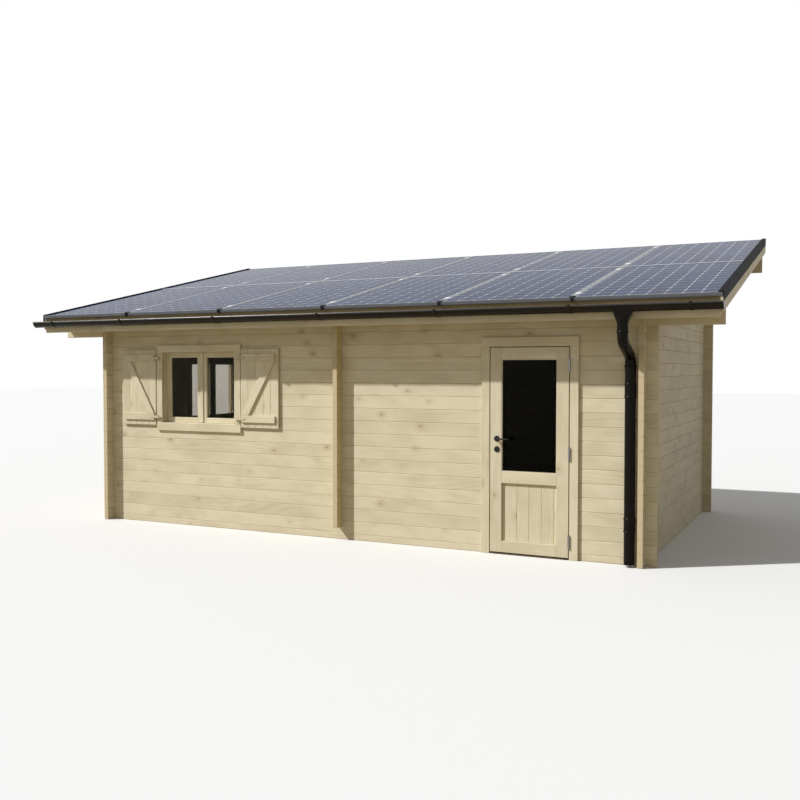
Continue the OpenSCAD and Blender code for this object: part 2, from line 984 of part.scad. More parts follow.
module front_fascia() {
    low = front_top - front_out * rise - fascia_drop;
    width = 2 * (verge_x - fascia_t);
    color(PINE)
        difference() {
            translate([-width / 2, eaves_y, low])
                cube([width, fascia_t, 2 * rafter_h]);
            over_roof(deck_top);
        }
}

module rear_fascia() {
    width = 2 * (verge_x - fascia_t);
    low = front_top + (wall_d + rear_out) * rise;
    color(PINE)
        difference() {
            translate([-width / 2, ridge_y - fascia_t, low])
                cube([width, fascia_t, 2 * rafter_h]);
            over_roof(deck_top);
        }
}

module roof_boards() {
    width = 2 * (verge_x - fascia_t);
    color(PINE_DARK)
        plumb_cut(eaves_y + fascia_t, ridge_y - fascia_t)
            on_roof()
                translate([-width / 2, -wall_d / 4, deck_low])
                    cube([width, 2 * wall_d, deck_t]);
}

module battens() {
    width = 2 * (verge_x - fascia_t);
    last = array_len - batten_w;
    places = [panel_lip, clamp_in - batten_w / 2, panel_len - clamp_in - batten_w / 2,
              row_len + clamp_in - batten_w / 2, array_len - clamp_in - batten_w / 2, last];
    color(PINE_DARK)
        on_roof()
            for (y = places)
                translate([-width / 2, array_start + y, deck_top])
                    cube([width, batten_w, batten_h]);
}

// Places a thing at the lower left corner of every panel
module each_panel() {
    on_roof()
        for (row = [0, 1], i = [0 : columns - 1])
            translate([
                (i - columns / 2) * column_pitch + panel_gap / 2, array_start + row * row_len, panel_low])
                children();
}

module panel_frames() {
    shelf = panel_t - laminate_in - laminate_t;
    color(ALUMINIUM)
        each_panel()
            difference() {
                cube([panel_w, panel_len, panel_t]);
                translate([rim_w, rim_w, shelf])
                    cube([panel_w - 2 * rim_w, panel_len - 2 * rim_w, panel_t]);
                translate([rim_t, rim_t, rim_t])
                    cube([panel_w - 2 * rim_t, panel_len - 2 * rim_t, shelf - 2 * rim_t]);
                translate([rim_foot, rim_foot, -over])
                    cube([panel_w - 2 * rim_foot, panel_len - 2 * rim_foot, panel_t]);
            }
}

module panel_glass() {
    shelf = panel_t - laminate_in - laminate_t;
    color(PANEL_BLUE)
        each_panel()
            translate([rim_w + glass_gap, rim_w + glass_gap, shelf])
                cube([panel_w - 2 * rim_w - 2 * glass_gap, panel_len - 2 * rim_w - 2 * glass_gap, laminate_t]);
}

// Clamps in the seams between the columns, over the inner battens
module panel_clamps() {
    rows = [clamp_in, panel_len - clamp_in, row_len + clamp_in, array_len - clamp_in];
    stem = panel_gap / 2;
    color(ALUMINIUM)
        on_roof()
            for (i = [1 : columns - 1], y = rows)
                translate([(i - columns / 2) * column_pitch, array_start + y - clamp_len / 2, panel_low]) {
                    translate([-stem / 2, 0, 0])
                        cube([stem, clamp_len, panel_t + clamp_t]);
                    translate([-clamp_w / 2, 0, panel_t])
                        cube([clamp_w, clamp_len, clamp_t]);
                }
}

// Folded sheet that covers the barge board and the panels' edge, on the +X side
module verge_flashing() {
    high = panel_top + flash_up;
    outer = verge_x + flash_t;
    color(BLACK)
        plumb_cut(eaves_y - panel_lip, ridge_y)
            on_roof()
                translate([0, 2 * wall_d, 0])
                    rotate([90, 0, 0])
                        linear_extrude(3 * wall_d)
                            polygon([
                                [verge_x, high - flash_h], [outer, high - flash_h], [outer, high],
                                [outer - flash_w, high], [outer - flash_w, panel_top],
                                [outer - flash_w + flash_t, panel_top],
                                [outer - flash_w + flash_t, high - flash_t], [verge_x, high - flash_t]]);
}

module left_verge_flashing() {
    mirror([1, 0, 0])
        verge_flashing();
}

module right_verge_flashing() {
    verge_flashing();
}

// A solid cylinder along X at the gutter
module gutter_bar(radius, x0, x1) {
    translate([x0, gutter_y, gutter_z])
        rotate([0, 90, 0])
            cylinder(r = radius, h = x1 - x0);
}

// All that lies above the gutter's rim
module over_rim(radius) {
    translate([-2 * verge_x, gutter_y - 2 * radius, gutter_z])
        cube([4 * verge_x, 4 * radius, 4 * radius]);
}

module gutter() {
    left = -verge_x - gutter_left;
    right = verge_x + gutter_right;
    color(BROWN)
        difference() {
            gutter_bar(gutter_r, left, right);
            gutter_bar(gutter_r - pipe_t, left - over, right + over);
            over_rim(gutter_r);
            translate([pipe_x, gutter_y, gutter_z - 2 * gutter_r])
                cylinder(r = pipe_r - 2 * pipe_t, h = 2 * gutter_r);
        }
}

module gutter_end_caps() {
    left = -verge_x - gutter_left;
    right = verge_x + gutter_right;
    color(BROWN)
        difference() {
            union() {
                gutter_bar(gutter_r + pipe_t, left - cap_t, left);
                gutter_bar(gutter_r + pipe_t, right, right + cap_t);
            }
            over_rim(gutter_r);
        }
}

// Straps under the gutter that hang from the fascia
module gutter_brackets() {
    reach = verge_x - bracket_in;
    color(BROWN)
        for (x = concat([-reach, reach], [for (i = [0 : inner_brackets - 1])
                (i - (inner_brackets - 1) / 2) * column_pitch]))
            union() {
                difference() {
                    gutter_bar(gutter_r + strap_t, x - strap_w / 2, x + strap_w / 2);
                    gutter_bar(gutter_r, x - strap_w, x + strap_w);
                    over_rim(gutter_r);
                }
                translate([x - strap_w / 2, gutter_y + gutter_r, gutter_z - gutter_r])
                    cube([strap_w, strap_t, gutter_r]);
            }
}

// A cone that widens upwards and is cut flat in front and behind
module funnel(low_r, high_r, half) {
    flare = funnel_h + gutter_r;
    top_r = low_r + (high_r - low_r) * flare / funnel_h;
    intersection() {
        cylinder(r1 = low_r, r2 = top_r, h = flare);
        translate([-top_r, -half, -over])
            cube([2 * top_r, 2 * half, flare + 2 * over]);
    }
}

// Funnel under the gutter, with a straight spigot below
module gutter_outlet() {
    color(BROWN)
        difference() {
            translate([pipe_x, gutter_y, outlet_low])
                union() {
                    tube(pipe_r - pipe_t, pipe_r, outlet_len - funnel_h);
                    translate([0, 0, outlet_len - funnel_h])
                        difference() {
                            funnel(pipe_r, funnel_r, gutter_r);
                            funnel(pipe_r - pipe_t, funnel_r - pipe_t, gutter_r - pipe_t);
                        }
                }
            gutter_bar(gutter_r, pipe_x - 4 * gutter_r, pipe_x + 4 * gutter_r);
            over_rim(gutter_r);
        }
}

// A straight length of pipe along Z
module tube(inner, outer, length) {
    difference() {
        cylinder(r = outer, h = length);
        translate([0, 0, -over])
            cylinder(r = inner, h = length + 2 * over);
    }
}

// One bend of the swan neck round the origin, in the plane of Y and Z
module bend() {
    rotate([90, 0, 90])
        rotate_extrude(angle = bend_turn)
            translate([bend_r, 0, 0])
                difference() {
                    circle(r = pipe_r);
                    circle(r = pipe_r - pipe_t);
                }
}

// Two bends and the straight length that is pushed up between them
module swan_neck() {
    color(BROWN) {
        translate([pipe_x, gutter_y + bend_r, outlet_low])
            rotate([180, 0, 0])
                bend();
        translate([pipe_x, gutter_y + bend_side, outlet_low - bend_down])
            rotate([180 + bend_turn, 0, 0])
                translate([0, 0, pin_gap])
                    tube(pipe_r - pipe_t, pipe_r, neck_run - 2 * pin_gap);
        translate([pipe_x, pipe_y - bend_r, neck_low])
            bend();
    }
}

module downpipe() {
    color(BROWN)
        translate([pipe_x, pipe_y, pipe_foot])
            union() {
                tube(pipe_r - pipe_t, pipe_r, neck_low - pipe_foot);
                translate([0, 0, neck_low - pipe_foot - socket_len])
                    tube(pipe_r, socket_r, socket_len);
            }
}

// Sleeves round the downpipe, with a foot on the wall
module pipe_clips() {
    color(BROWN)
        for (z = [clip_high, clip_low])
            translate([pipe_x, pipe_y, z])
                union() {
                    translate([0, 0, -clip_h / 2])
                        tube(pipe_r, pipe_r + pipe_t, clip_h);
                    difference() {
                        translate([-pipe_r / 2, 0, -clip_foot / 2])
                            cube([pipe_r, pipe_r + pipe_off, clip_foot]);
                        translate([0, 0, -clip_foot])
                            cylinder(r = pipe_r + pipe_t / 2, h = 2 * clip_foot);
                    }
                }
}

front_wall_lower();
front_wall_left();
front_wall_middle();
front_wall_right();
front_wall_top();
front_purlin();
rear_wall();
rear_purlin();
right_wall();
left_wall_lower();
left_wall_front();
left_wall_rear();
left_wall_top();
front_stub_logs();
rear_stub_logs();
door_jamb_left();
door_jamb_right();
door_head();
door_threshold();
door_leaf();
door_glass();
door_lever();
door_roses();
door_hinge_leaves();
door_hinge_posts();
front_window_frame();
front_window_sashes();
front_window_glass();
left_window_frame();
left_window_sashes();
left_window_glass();
left_shutter();
right_shutter();
left_shutter_straps();
right_shutter_straps();
shutter_pintles();
rafters();
left_barge_board();
right_barge_board();
front_fascia();
rear_fascia();
roof_boards();
battens();
panel_frames();
panel_glass();
panel_clamps();
left_verge_flashing();
right_verge_flashing();
gutter();
gutter_end_caps();
gutter_brackets();
gutter_outlet();
swan_neck();
downpipe();
pipe_clips();
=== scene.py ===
"""Dresses a packed garden shed: log walls, joinery, shutters, solar roof, gutter and a plain stage."""

import math
import random

import bmesh
import bpy
from mathutils import Matrix, Vector


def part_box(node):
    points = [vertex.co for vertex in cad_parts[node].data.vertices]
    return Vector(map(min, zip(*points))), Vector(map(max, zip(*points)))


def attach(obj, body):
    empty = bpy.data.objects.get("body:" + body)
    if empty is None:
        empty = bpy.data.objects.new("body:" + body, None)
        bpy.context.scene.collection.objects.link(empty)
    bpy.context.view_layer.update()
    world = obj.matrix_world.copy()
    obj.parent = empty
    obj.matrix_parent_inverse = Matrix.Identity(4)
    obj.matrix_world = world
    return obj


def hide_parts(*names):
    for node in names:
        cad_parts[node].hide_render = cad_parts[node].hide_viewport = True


bl_info = {
    "name": "Garden Shed Dresser",
    "version": (1, 0, 0),
    "blender": (4, 5, 0),
    "location": "3D View > Sidebar > Shed",
    "description": "Builds the finishes and fine pieces of a log garden shed round its packed frame",
    "category": "Object",
}

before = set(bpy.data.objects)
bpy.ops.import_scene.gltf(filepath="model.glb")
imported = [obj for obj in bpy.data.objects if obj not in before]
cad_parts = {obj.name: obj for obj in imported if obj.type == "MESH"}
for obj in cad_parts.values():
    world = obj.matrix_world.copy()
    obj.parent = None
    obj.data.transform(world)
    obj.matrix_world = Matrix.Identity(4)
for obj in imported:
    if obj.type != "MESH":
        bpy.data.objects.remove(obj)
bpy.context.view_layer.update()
TAU = 2 * math.pi
CREASE = math.radians(35)
PLAIN = (1.0, 1.0, 1.0)
WOOD_RELIEF = 0.002
NAIL_RADIUS = 0.0036
NAIL_PLACES = (0.28, 0.72)
# A raised bead round a pipe: (out from the pipe's face, along the pipe)
PIPE_BEAD = ((0.0, -0.008), (0.003, -0.007), (0.0055, -0.003), (0.006, 0.0), (0.0055, 0.003),
             (0.003, 0.007), (0.0, 0.008))
SHED = "shed"
DOOR = "door"
LEVER = "lever"
LEFT_SHUTTER = "shutter_left"
RIGHT_SHUTTER = "shutter_right"


def node_box(name):
    """Lowest and highest corners of a node at rest."""
    low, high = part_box(name)
    return Vector(low), Vector(high)


# Settings


class ShedWood(bpy.types.PropertyGroup):
    """Colours and sizes of the timber"""

    early: bpy.props.FloatVectorProperty(
        name="Early wood", description="Pale wood between the year rings", subtype="COLOR",
        size=3, min=0, max=1, default=(0.700, 0.632, 0.470))
    late: bpy.props.FloatVectorProperty(
        name="Late wood", description="Darker wood of the year rings", subtype="COLOR",
        size=3, min=0, max=1, default=(0.52, 0.44, 0.28))
    knot: bpy.props.FloatVectorProperty(
        name="Knot", description="Colour of the knots", subtype="COLOR",
        size=3, min=0, max=1, default=(0.33, 0.20, 0.10))
    end_grain: bpy.props.FloatVectorProperty(
        name="End grain", description="Colour of sawn log ends", subtype="COLOR",
        size=3, min=0, max=1, default=(0.56, 0.46, 0.29))
    log_height: bpy.props.FloatProperty(
        name="Log height", description="Height of one log, joint to joint", unit="LENGTH", default=0.12)
    edge: bpy.props.FloatProperty(
        name="Board edge", description="Width of the eased edges of planed boards", unit="LENGTH",
        default=0.003)
    seed: bpy.props.IntProperty(
        name="Board seed", description="Start of the random draws for boards", default=7)


class ShedJoinery(bpy.types.PropertyGroup):
    """Sizes of the door, windows and shutters"""

    bead: bpy.props.FloatProperty(
        name="Glazing bead", description="Width of the beads that hold the glass", unit="LENGTH",
        default=0.006)
    leaf_rail: bpy.props.FloatProperty(
        name="Leaf rail", description="Height of the door leaf's rails", unit="LENGTH", default=0.103)
    leaf_panel: bpy.props.FloatProperty(
        name="Leaf panel", description="Height of the door's boarded panel", unit="LENGTH",
        default=0.508)
    leaf_board: bpy.props.FloatProperty(
        name="Door board", description="Width of a board in the door's lower panel", unit="LENGTH",
        default=0.110)
    panel_recess: bpy.props.FloatProperty(
        name="Panel recess", description="Depth that the boarded panel is set in outside", unit="LENGTH",
        default=0.020)
    panel_back: bpy.props.FloatProperty(
        name="Panel back", description="Depth that the boarded panel is set in inside", unit="LENGTH",
        default=0.008)
    casing: bpy.props.FloatProperty(
        name="Casing", description="Thickness of the casing boards", unit="LENGTH", default=0.022)
    window_board: bpy.props.FloatVectorProperty(
        name="Window boards", description="Width of a window's side, top and bottom casing boards",
        unit="LENGTH", size=3, default=(0.074, 0.075, 0.083))
    window_lap: bpy.props.FloatVectorProperty(
        name="Window laps", description="Overlap of a window's side, top and bottom boards on the wall",
        unit="LENGTH", size=3, default=(0.050, 0.020, 0.035))
    sash: bpy.props.FloatProperty(
        name="Sash", description="Width of the sashes' stiles and rails", unit="LENGTH", default=0.055)
    ledge: bpy.props.FloatProperty(
        name="Ledge", description="Height of the shutters' ledges", unit="LENGTH", default=0.070)
    ledge_depth: bpy.props.FloatProperty(
        name="Ledge depth", description="Thickness of the shutters' ledges", unit="LENGTH", default=0.018)
    ledge_in: bpy.props.FloatProperty(
        name="Ledge inset", description="Distance from a shutter's end to its ledge", unit="LENGTH",
        default=0.054)
    ledge_short: bpy.props.FloatProperty(
        name="Ledge shortening", description="How far ledges stop short of the free edge", unit="LENGTH",
        default=0.035)
    ledge_start: bpy.props.FloatProperty(
        name="Ledge start", description="How far ledges stop short of the hinge edge", unit="LENGTH",
        default=0.015)
    shutter_boards: bpy.props.IntProperty(
        name="Shutter boards", description="Boards in a shutter", default=5)


class ShedRoof(bpy.types.PropertyGroup):
    """Sizes and colours of the roof and the rain goods"""

    pitch: bpy.props.FloatProperty(
        name="Pitch", description="Slope of the roof", subtype="ANGLE", default=math.radians(13))
    bearing: bpy.props.FloatProperty(
        name="Bearing height", description="Height of the front wall's top outer edge", unit="LENGTH",
        default=2.1)
    rafter: bpy.props.FloatProperty(
        name="Rafter height", description="Height of the rafters", unit="LENGTH", default=0.095)
    deck: bpy.props.FloatProperty(
        name="Roof boards", description="Thickness of the roof boards", unit="LENGTH", default=0.020)
    batten: bpy.props.FloatProperty(
        name="Battens", description="Height of the battens", unit="LENGTH", default=0.035)
    panel: bpy.props.FloatProperty(
        name="Panel frame", description="Thickness of the panels' frames", unit="LENGTH", default=0.030)
    columns: bpy.props.IntProperty(name="Columns", description="Panels in a row", default=6)
    gap: bpy.props.FloatProperty(
        name="Panel gap", description="Gap between panels", unit="LENGTH", default=0.024)
    board: bpy.props.FloatProperty(
        name="Roof board", description="Width of one roof board", unit="LENGTH", default=0.112)
    fascia_low: bpy.props.FloatProperty(
        name="Fascia drop", description="How far the front fascia stays below the roof boards' top",
        unit="LENGTH", default=0.008)
    cell: bpy.props.FloatVectorProperty(
        name="Cells", description="Colour of the solar cells", subtype="COLOR", size=3, min=0, max=1,
        default=(0.016, 0.027, 0.070))
    wire: bpy.props.FloatVectorProperty(
        name="Cell gaps", description="Colour of the lines between the cells", subtype="COLOR", size=3,
        min=0, max=1, default=(0.62, 0.65, 0.68))
    gutter: bpy.props.FloatVectorProperty(
        name="Gutter", description="Colour of the gutter, its caps and brackets", subtype="COLOR",
        size=3, min=0, max=1, default=(0.0080, 0.0058, 0.0036))
    pipe: bpy.props.FloatVectorProperty(
        name="Downpipe", description="Colour of the downpipe, neck and outlet", subtype="COLOR",
        size=3, min=0, max=1, default=(0.0052, 0.0040, 0.0032))
    flashing: bpy.props.FloatVectorProperty(
        name="Flashing", description="Colour of the verge sheets", subtype="COLOR", size=3, min=0,
        max=1, default=(0.0032, 0.0036, 0.0042))
    bead: bpy.props.FloatProperty(
        name="Gutter bead", description="Radius of the bead along the gutter's front rim",
        unit="LENGTH", default=0.008)
    bracket: bpy.props.FloatProperty(
        name="Bracket", description="Width of the gutter's brackets", unit="LENGTH", default=0.025)
    sleeve: bpy.props.FloatProperty(
        name="Pipe sleeve", description="Height of the downpipe's sleeves", unit="LENGTH", default=0.104)
    hook: bpy.props.FloatVectorProperty(
        name="Panel hook", description="Width, depth and height of the hooks at the panels' front edge",
        unit="LENGTH", size=3, default=(0.060, 0.034, 0.040))


class ShedStage(bpy.types.PropertyGroup):
    """Camera, light and floor"""

    eye: bpy.props.FloatVectorProperty(
        name="Eye", description="Place of the camera", unit="LENGTH", size=3,
        default=(4.362, -7.680, 1.62))
    yaw: bpy.props.FloatProperty(
        name="Yaw", description="Turn of the camera to the left of the depth axis", subtype="ANGLE",
        default=math.radians(25.92))
    tilt: bpy.props.FloatProperty(
        name="Tilt", description="Tilt of the camera below level", subtype="ANGLE",
        default=math.radians(1.864))
    lens: bpy.props.FloatProperty(
        name="Lens", description="Focal length on a 36 mm sensor, in millimetres", default=41.46)
    key_travel: bpy.props.FloatVectorProperty(
        name="Key direction", description="Way that the key light travels", size=3,
        default=(1.40, 1.0, -1.5))
    key_power: bpy.props.FloatProperty(
        name="Key strength", description="Strength of the key light", default=4.2)
    key_spread: bpy.props.FloatProperty(
        name="Key spread", description="Softness of the key light", subtype="ANGLE",
        default=math.radians(1.2))
    fill_power: bpy.props.FloatProperty(
        name="Fill strength", description="Strength of the even light from all round", default=0.46)
    fill_fall: bpy.props.FloatProperty(
        name="Fill fall-off", default=0.30,
        description="How much weaker the even light is on the right than on the left")
    floor: bpy.props.FloatVectorProperty(
        name="Floor", description="Colour of the floor where it is seen", subtype="COLOR", size=3, min=0,
        max=1, default=(0.72, 0.72, 0.715))
    bounce: bpy.props.FloatVectorProperty(
        name="Floor bounce", description="Colour of the light that the floor throws back",
        subtype="COLOR", size=3, min=0, max=1, default=(0.29, 0.245, 0.15))


SETTINGS = (
    ("shed_wood", ShedWood),
    ("shed_joinery", ShedJoinery),
    ("shed_roof", ShedRoof),
    ("shed_stage", ShedStage),
)


def settings(name):
    """The scene's settings of one group."""
    return getattr(bpy.context.scene, name)


# Shader helpers


class Recipe:
    """A material and short ways to add and join its nodes"""

    def __init__(self, name):
        self.material = bpy.data.materials.new(name)
        self.material.use_nodes = True
        self.tree = self.material.node_tree
        self.shader = self.tree.nodes["Principled BSDF"]

    def put(self, value, socket):
        """Links a socket, or sets a plain value."""
        if isinstance(value, bpy.types.NodeSocket):
            self.tree.links.new(value, socket)
        else:
            socket.default_value = value

    def node(self, kind, **options):
        """Adds a node and sets its options."""
        made = self.tree.nodes.new(kind)
        for key, value in options.items():
            setattr(made, key, value)
        return made

    def math(self, operation, *values):
        """A math node's result."""
        made = self.node("ShaderNodeMath", operation=operation)
        for value, socket in zip(values, made.inputs):
            self.put(value, socket)
        return made.outputs[0]

    def vector(self, operation, *values):
        """A vector math node's result."""
        made = self.node("ShaderNodeVectorMath", operation=operation)
        for value, socket in zip(values, made.inputs):
            self.put(value, socket)
        return made.outputs[0]

    def split(self, vector):
        """The three parts of a vector."""
        made = self.node("ShaderNodeSeparateXYZ")
        self.put(vector, made.inputs[0])
        return made.outputs

    def join(self, x, y, z):
        """A vector from three parts."""
        made = self.node("ShaderNodeCombineXYZ")
        for value, socket in zip((x, y, z), made.inputs):
            self.put(value, socket)
        return made.outputs[0]

    def noise(self, vector, stretch, detail=2.0, rough=0.5):
        """Noise over stretched coordinates."""
        made = self.node("ShaderNodeTexNoise")
        self.put(self.vector("MULTIPLY", vector, stretch), made.inputs["Vector"])
        made.inputs["Scale"].default_value = 1.0
        made.inputs["Detail"].default_value = detail
        made.inputs["Roughness"].default_value = rough
        return made.outputs["Fac"]

    def step(self, value, low, high, to_low=0.0, to_high=1.0):
        """A smooth step of a value."""
        made = self.node("ShaderNodeMapRange", interpolation_type="SMOOTHSTEP")
        for number, socket in zip((value, low, high, to_low, to_high), made.inputs):
            self.put(number, socket)
        return made.outputs[0]

    def mix(self, factor, first, second, blend="MIX"):
        """A mix of two colours."""
        made = self.node("ShaderNodeMix", data_type="RGBA", blend_type=blend)
        self.put(factor, made.inputs["Factor"])
        self.put(solid(first), made.inputs[6])
        self.put(solid(second), made.inputs[7])
        return made.outputs[2]

    def white(self, value):
        """A random number for each value."""
        made = self.node("ShaderNodeTexWhiteNoise", noise_dimensions="1D")
        self.put(value, made.inputs["W"])
        return made.outputs["Value"]

    def object_place(self):
        """The place on the piece, in metres."""
        return self.node("ShaderNodeTexCoord").outputs["Object"]

    def slope_place(self, pitch):
        """The three parts of the place on the piece, turned so that Y runs up the roof's slope."""
        made = self.node("ShaderNodeMapping", vector_type="POINT")
        self.put(self.object_place(), made.inputs["Vector"])
        made.inputs["Rotation"].default_value = (-pitch, 0.0, 0.0)
        return self.split(made.outputs["Vector"])

    def bump(self, height, strength, distance):
        """Sets the surface's bump."""
        made = self.node("ShaderNodeBump")
        made.inputs["Strength"].default_value = strength
        made.inputs["Distance"].default_value = distance
        self.put(height, made.inputs["Height"])
        self.put(made.outputs["Normal"], self.shader.inputs["Normal"])

    def set(self, **sockets):
        """Sets the shader's own sockets, with _ for a space in their names."""
        for key, value in sockets.items():
            self.put(solid(value), self.shader.inputs[key.replace("_", " ")])


def solid(value):
    """A colour with its alpha, or the value as it is."""
    if isinstance(value, (tuple, list)) and len(value) == 3:
        return (*value, 1.0)
    return value


def wood_figure(recipe, grain, seed, colours):
    """Colour and height of planed pine, from (along, across, deep) coordinates and a board's number."""
    early, late, knot = colours
    shifted = recipe.vector("ADD", grain, recipe.join(
        recipe.math("MULTIPLY", seed, 31.7), recipe.math("MULTIPLY", seed, 7.3), 0.0))
    knots = recipe.node("ShaderNodeTexVoronoi", voronoi_dimensions="2D", feature="F1")
    knots.inputs["Scale"].default_value = 3.1
    recipe.put(recipe.vector("MULTIPLY", shifted, (0.72, 1.0, 1.0)), knots.inputs["Vector"])
    near = recipe.math("ADD", knots.outputs["Distance"], recipe.math(
        "MULTIPLY", recipe.math("SUBTRACT", recipe.noise(shifted, (40.0, 40.0, 40.0)), 0.5), 0.03))
    rank = recipe.split(knots.outputs["Color"])
    chosen = recipe.math("MULTIPLY", recipe.step(rank[0], 0.44, 0.48),
                         recipe.step(rank[1], 0.0, 1.0, 0.3, 1.0))
    flow = recipe.math("MULTIPLY", recipe.step(near, 0.02, 0.15, 1.0, 0.0), chosen)
    warp = recipe.noise(shifted, (0.40, 3.2, 3.2), 1.5)
    across = recipe.split(shifted)[1]
    phase = recipe.math("ADD", recipe.math("MULTIPLY", across, 30.0),
                        recipe.math("MULTIPLY", warp, 15.0))
    phase = recipe.math("ADD", phase, recipe.math("MULTIPLY", flow, 1.4))
    rings = recipe.step(recipe.math("SINE", recipe.math("MULTIPLY", phase, TAU)), 0.0, 1.0)
    strength = recipe.step(recipe.noise(shifted, (0.9, 2.0, 2.0), 1.0), 0.35, 0.7, 0.04, 0.24)
    fibre = recipe.noise(shifted, (4.0, 300.0, 300.0), 3.0, 0.6)
    cloud = recipe.noise(shifted, (2.6, 5.0, 5.0), 3.0, 0.55)
    amount = recipe.math("ADD", recipe.math("MULTIPLY", rings, strength),
                         recipe.math("MULTIPLY", fibre, 0.36))
    amount = recipe.math("ADD", amount, recipe.step(cloud, 0.34, 0.72, -0.10, 0.36))
    colour = recipe.mix(amount, early, late)
    tone = recipe.math("ADD", recipe.math("MULTIPLY", seed, 0.07), 0.965)
    tone = recipe.join(tone, tone, recipe.math("MULTIPLY", tone, 0.99))
    colour = recipe.mix(1.0, colour, tone, "MULTIPLY")
    halo = recipe.math("MULTIPLY", recipe.step(near, 0.02, 0.19, 0.62, 0.0), chosen)
    colour = recipe.mix(halo, colour, tuple(0.6 * a + 0.4 * b for a, b in zip(late, knot)))
    heart = recipe.math("MULTIPLY", recipe.step(near, 0.012, 0.040, 0.8, 0.0), chosen)
    colour = recipe.mix(heart, colour, knot)
    height = recipe.math("ADD", recipe.math("MULTIPLY", fibre, 0.7),
                         recipe.math("MULTIPLY", rings, 0.3))
    return colour, height


def wood_colours(tint=PLAIN):
    """Early wood, late wood and knot colours, multiplied by a tint; the darker, warmer tints given to the
    crossing logs and the roof timber are painted shade and warm bounce light.
    """
    wood = settings("shed_wood")
    return [tuple(part * share for part, share in zip(colour, tint))
            for colour in (wood.early, wood.late, wood.knot)]


def log_wood(name, along_y, first_joint, wall, joint=0.2, tint=PLAIN):
    """Pine of stacked logs along X or Y: own grain in each log, dark joints and sawn ends."""
    wood = settings("shed_wood")
    recipe = Recipe(name)
    x, y, z = recipe.split(recipe.object_place())
    along, deep = (y, x) if along_y else (x, y)
    up = recipe.math("SUBTRACT", z, first_joint)
    row = recipe.math("FLOOR", recipe.math("DIVIDE", up, wood.log_height))
    seed = recipe.white(recipe.math("ADD", row, wall))
    within = recipe.math("SUBTRACT", up, recipe.math("MULTIPLY", row, wood.log_height))
    colour, height = wood_figure(recipe, recipe.join(along, within, deep), seed, wood_colours(tint))
    normal = recipe.split(recipe.node("ShaderNodeNewGeometry").outputs["True Normal"])
    facing = recipe.math("ABSOLUTE", normal[1] if along_y else normal[0])
    sawn = recipe.step(facing, 0.7, 0.8)
    pith = recipe.math("MULTIPLY", seed, wood.log_height)
    heart = recipe.join(recipe.math("SUBTRACT", within, pith), recipe.math("ADD", deep, 0.02), 0.0)
    reach = recipe.node("ShaderNodeVectorMath", operation="LENGTH")
    recipe.put(heart, reach.inputs[0])
    years = recipe.math("SINE", recipe.math("MULTIPLY", reach.outputs["Value"], TAU * 190))
    check = recipe.noise(recipe.join(within, deep, along), (60.0, 9.0, 1.0), 3.0, 0.7)
    end = recipe.mix(recipe.step(years, -0.5, 1.0, 0.0, 0.35), tuple(wood.end_grain),
                     tuple(wood.late))
    end = recipe.mix(recipe.step(check, 0.62, 0.72, 0.0, 0.5), end, tuple(wood.knot))
    colour = recipe.mix(sawn, colour, end)
    edge = recipe.math("MINIMUM", within, recipe.math("SUBTRACT", wood.log_height, within))
    colour = recipe.mix(recipe.step(edge, 0.0008, 0.0028, joint, 0.0), colour, tuple(wood.knot))
    recipe.set(Base_Color=colour, Roughness=0.62, Specular_IOR_Level=0.3)
    recipe.bump(height, 0.25, WOOD_RELIEF)
    return recipe.material


def board_wood(name, tint=PLAIN):
    """Pine of single boards, from the grain and number that each board carries."""
    recipe = Recipe(name)
    grain = recipe.node("ShaderNodeAttribute", attribute_name="grain").outputs["Vector"]
    seed = recipe.node("ShaderNodeAttribute", attribute_name="board").outputs["Fac"]
    colour, height = wood_figure(recipe, grain, seed, wood_colours(tint))
    recipe.set(Base_Color=colour, Roughness=0.58, Specular_IOR_Level=0.32)
    recipe.bump(height, 0.22, WOOD_RELIEF)
    return recipe.material


def roof_wood(name, along_y, tint):
    """Pine of rafters and battens."""
    recipe = Recipe(name)
    x, y, z = recipe.split(recipe.object_place())
    along, across = (y, x) if along_y else (x, y)
    seed = recipe.white(recipe.math("FLOOR", recipe.math("MULTIPLY", across, 1.4)))
    colour, height = wood_figure(recipe, recipe.join(along, z, across), seed, wood_colours(tint))
    recipe.set(Base_Color=colour, Roughness=0.66, Specular_IOR_Level=0.28)
    recipe.bump(height, 0.3, WOOD_RELIEF)
    return recipe.material


def slope_wood(name):
    """Pine of a board that runs up the roof's slope."""
    recipe = Recipe(name)
    x, y, z = recipe.slope_place(settings("shed_roof").pitch)
    seed = recipe.white(recipe.math("SIGN", x))
    colour, height = wood_figure(recipe, recipe.join(y, z, x), seed, wood_colours())
    recipe.set(Base_Color=colour, Roughness=0.6, Specular_IOR_Level=0.3)
    recipe.bump(height, 0.22, WOOD_RELIEF)
    return recipe.material


def coated_metal(name, colour, rough, metallic=0.0, shine=0.3, gloss=(1.0, 1.0, 1.0)):
    """Paint or plating with faint streaks and dust."""
    recipe = Recipe(name)
    place = recipe.object_place()
    dust = recipe.noise(place, (9.0, 9.0, 9.0), 4.0, 0.6)
    fine = recipe.noise(place, (380.0, 380.0, 380.0), 2.0)
    paler = tuple(min(1.0, part * 1.5 + 0.004) for part in colour)
    recipe.set(Base_Color=recipe.mix(recipe.step(dust, 0.45, 0.8, 0.0, 0.35), tuple(colour), paler),
               Metallic=metallic, Specular_IOR_Level=shine, Specular_Tint=gloss,
               Roughness=recipe.math("ADD", recipe.math("MULTIPLY", dust, 0.12), rough - 0.06))
    recipe.bump(fine, 0.05, 0.0005)
    return recipe.material


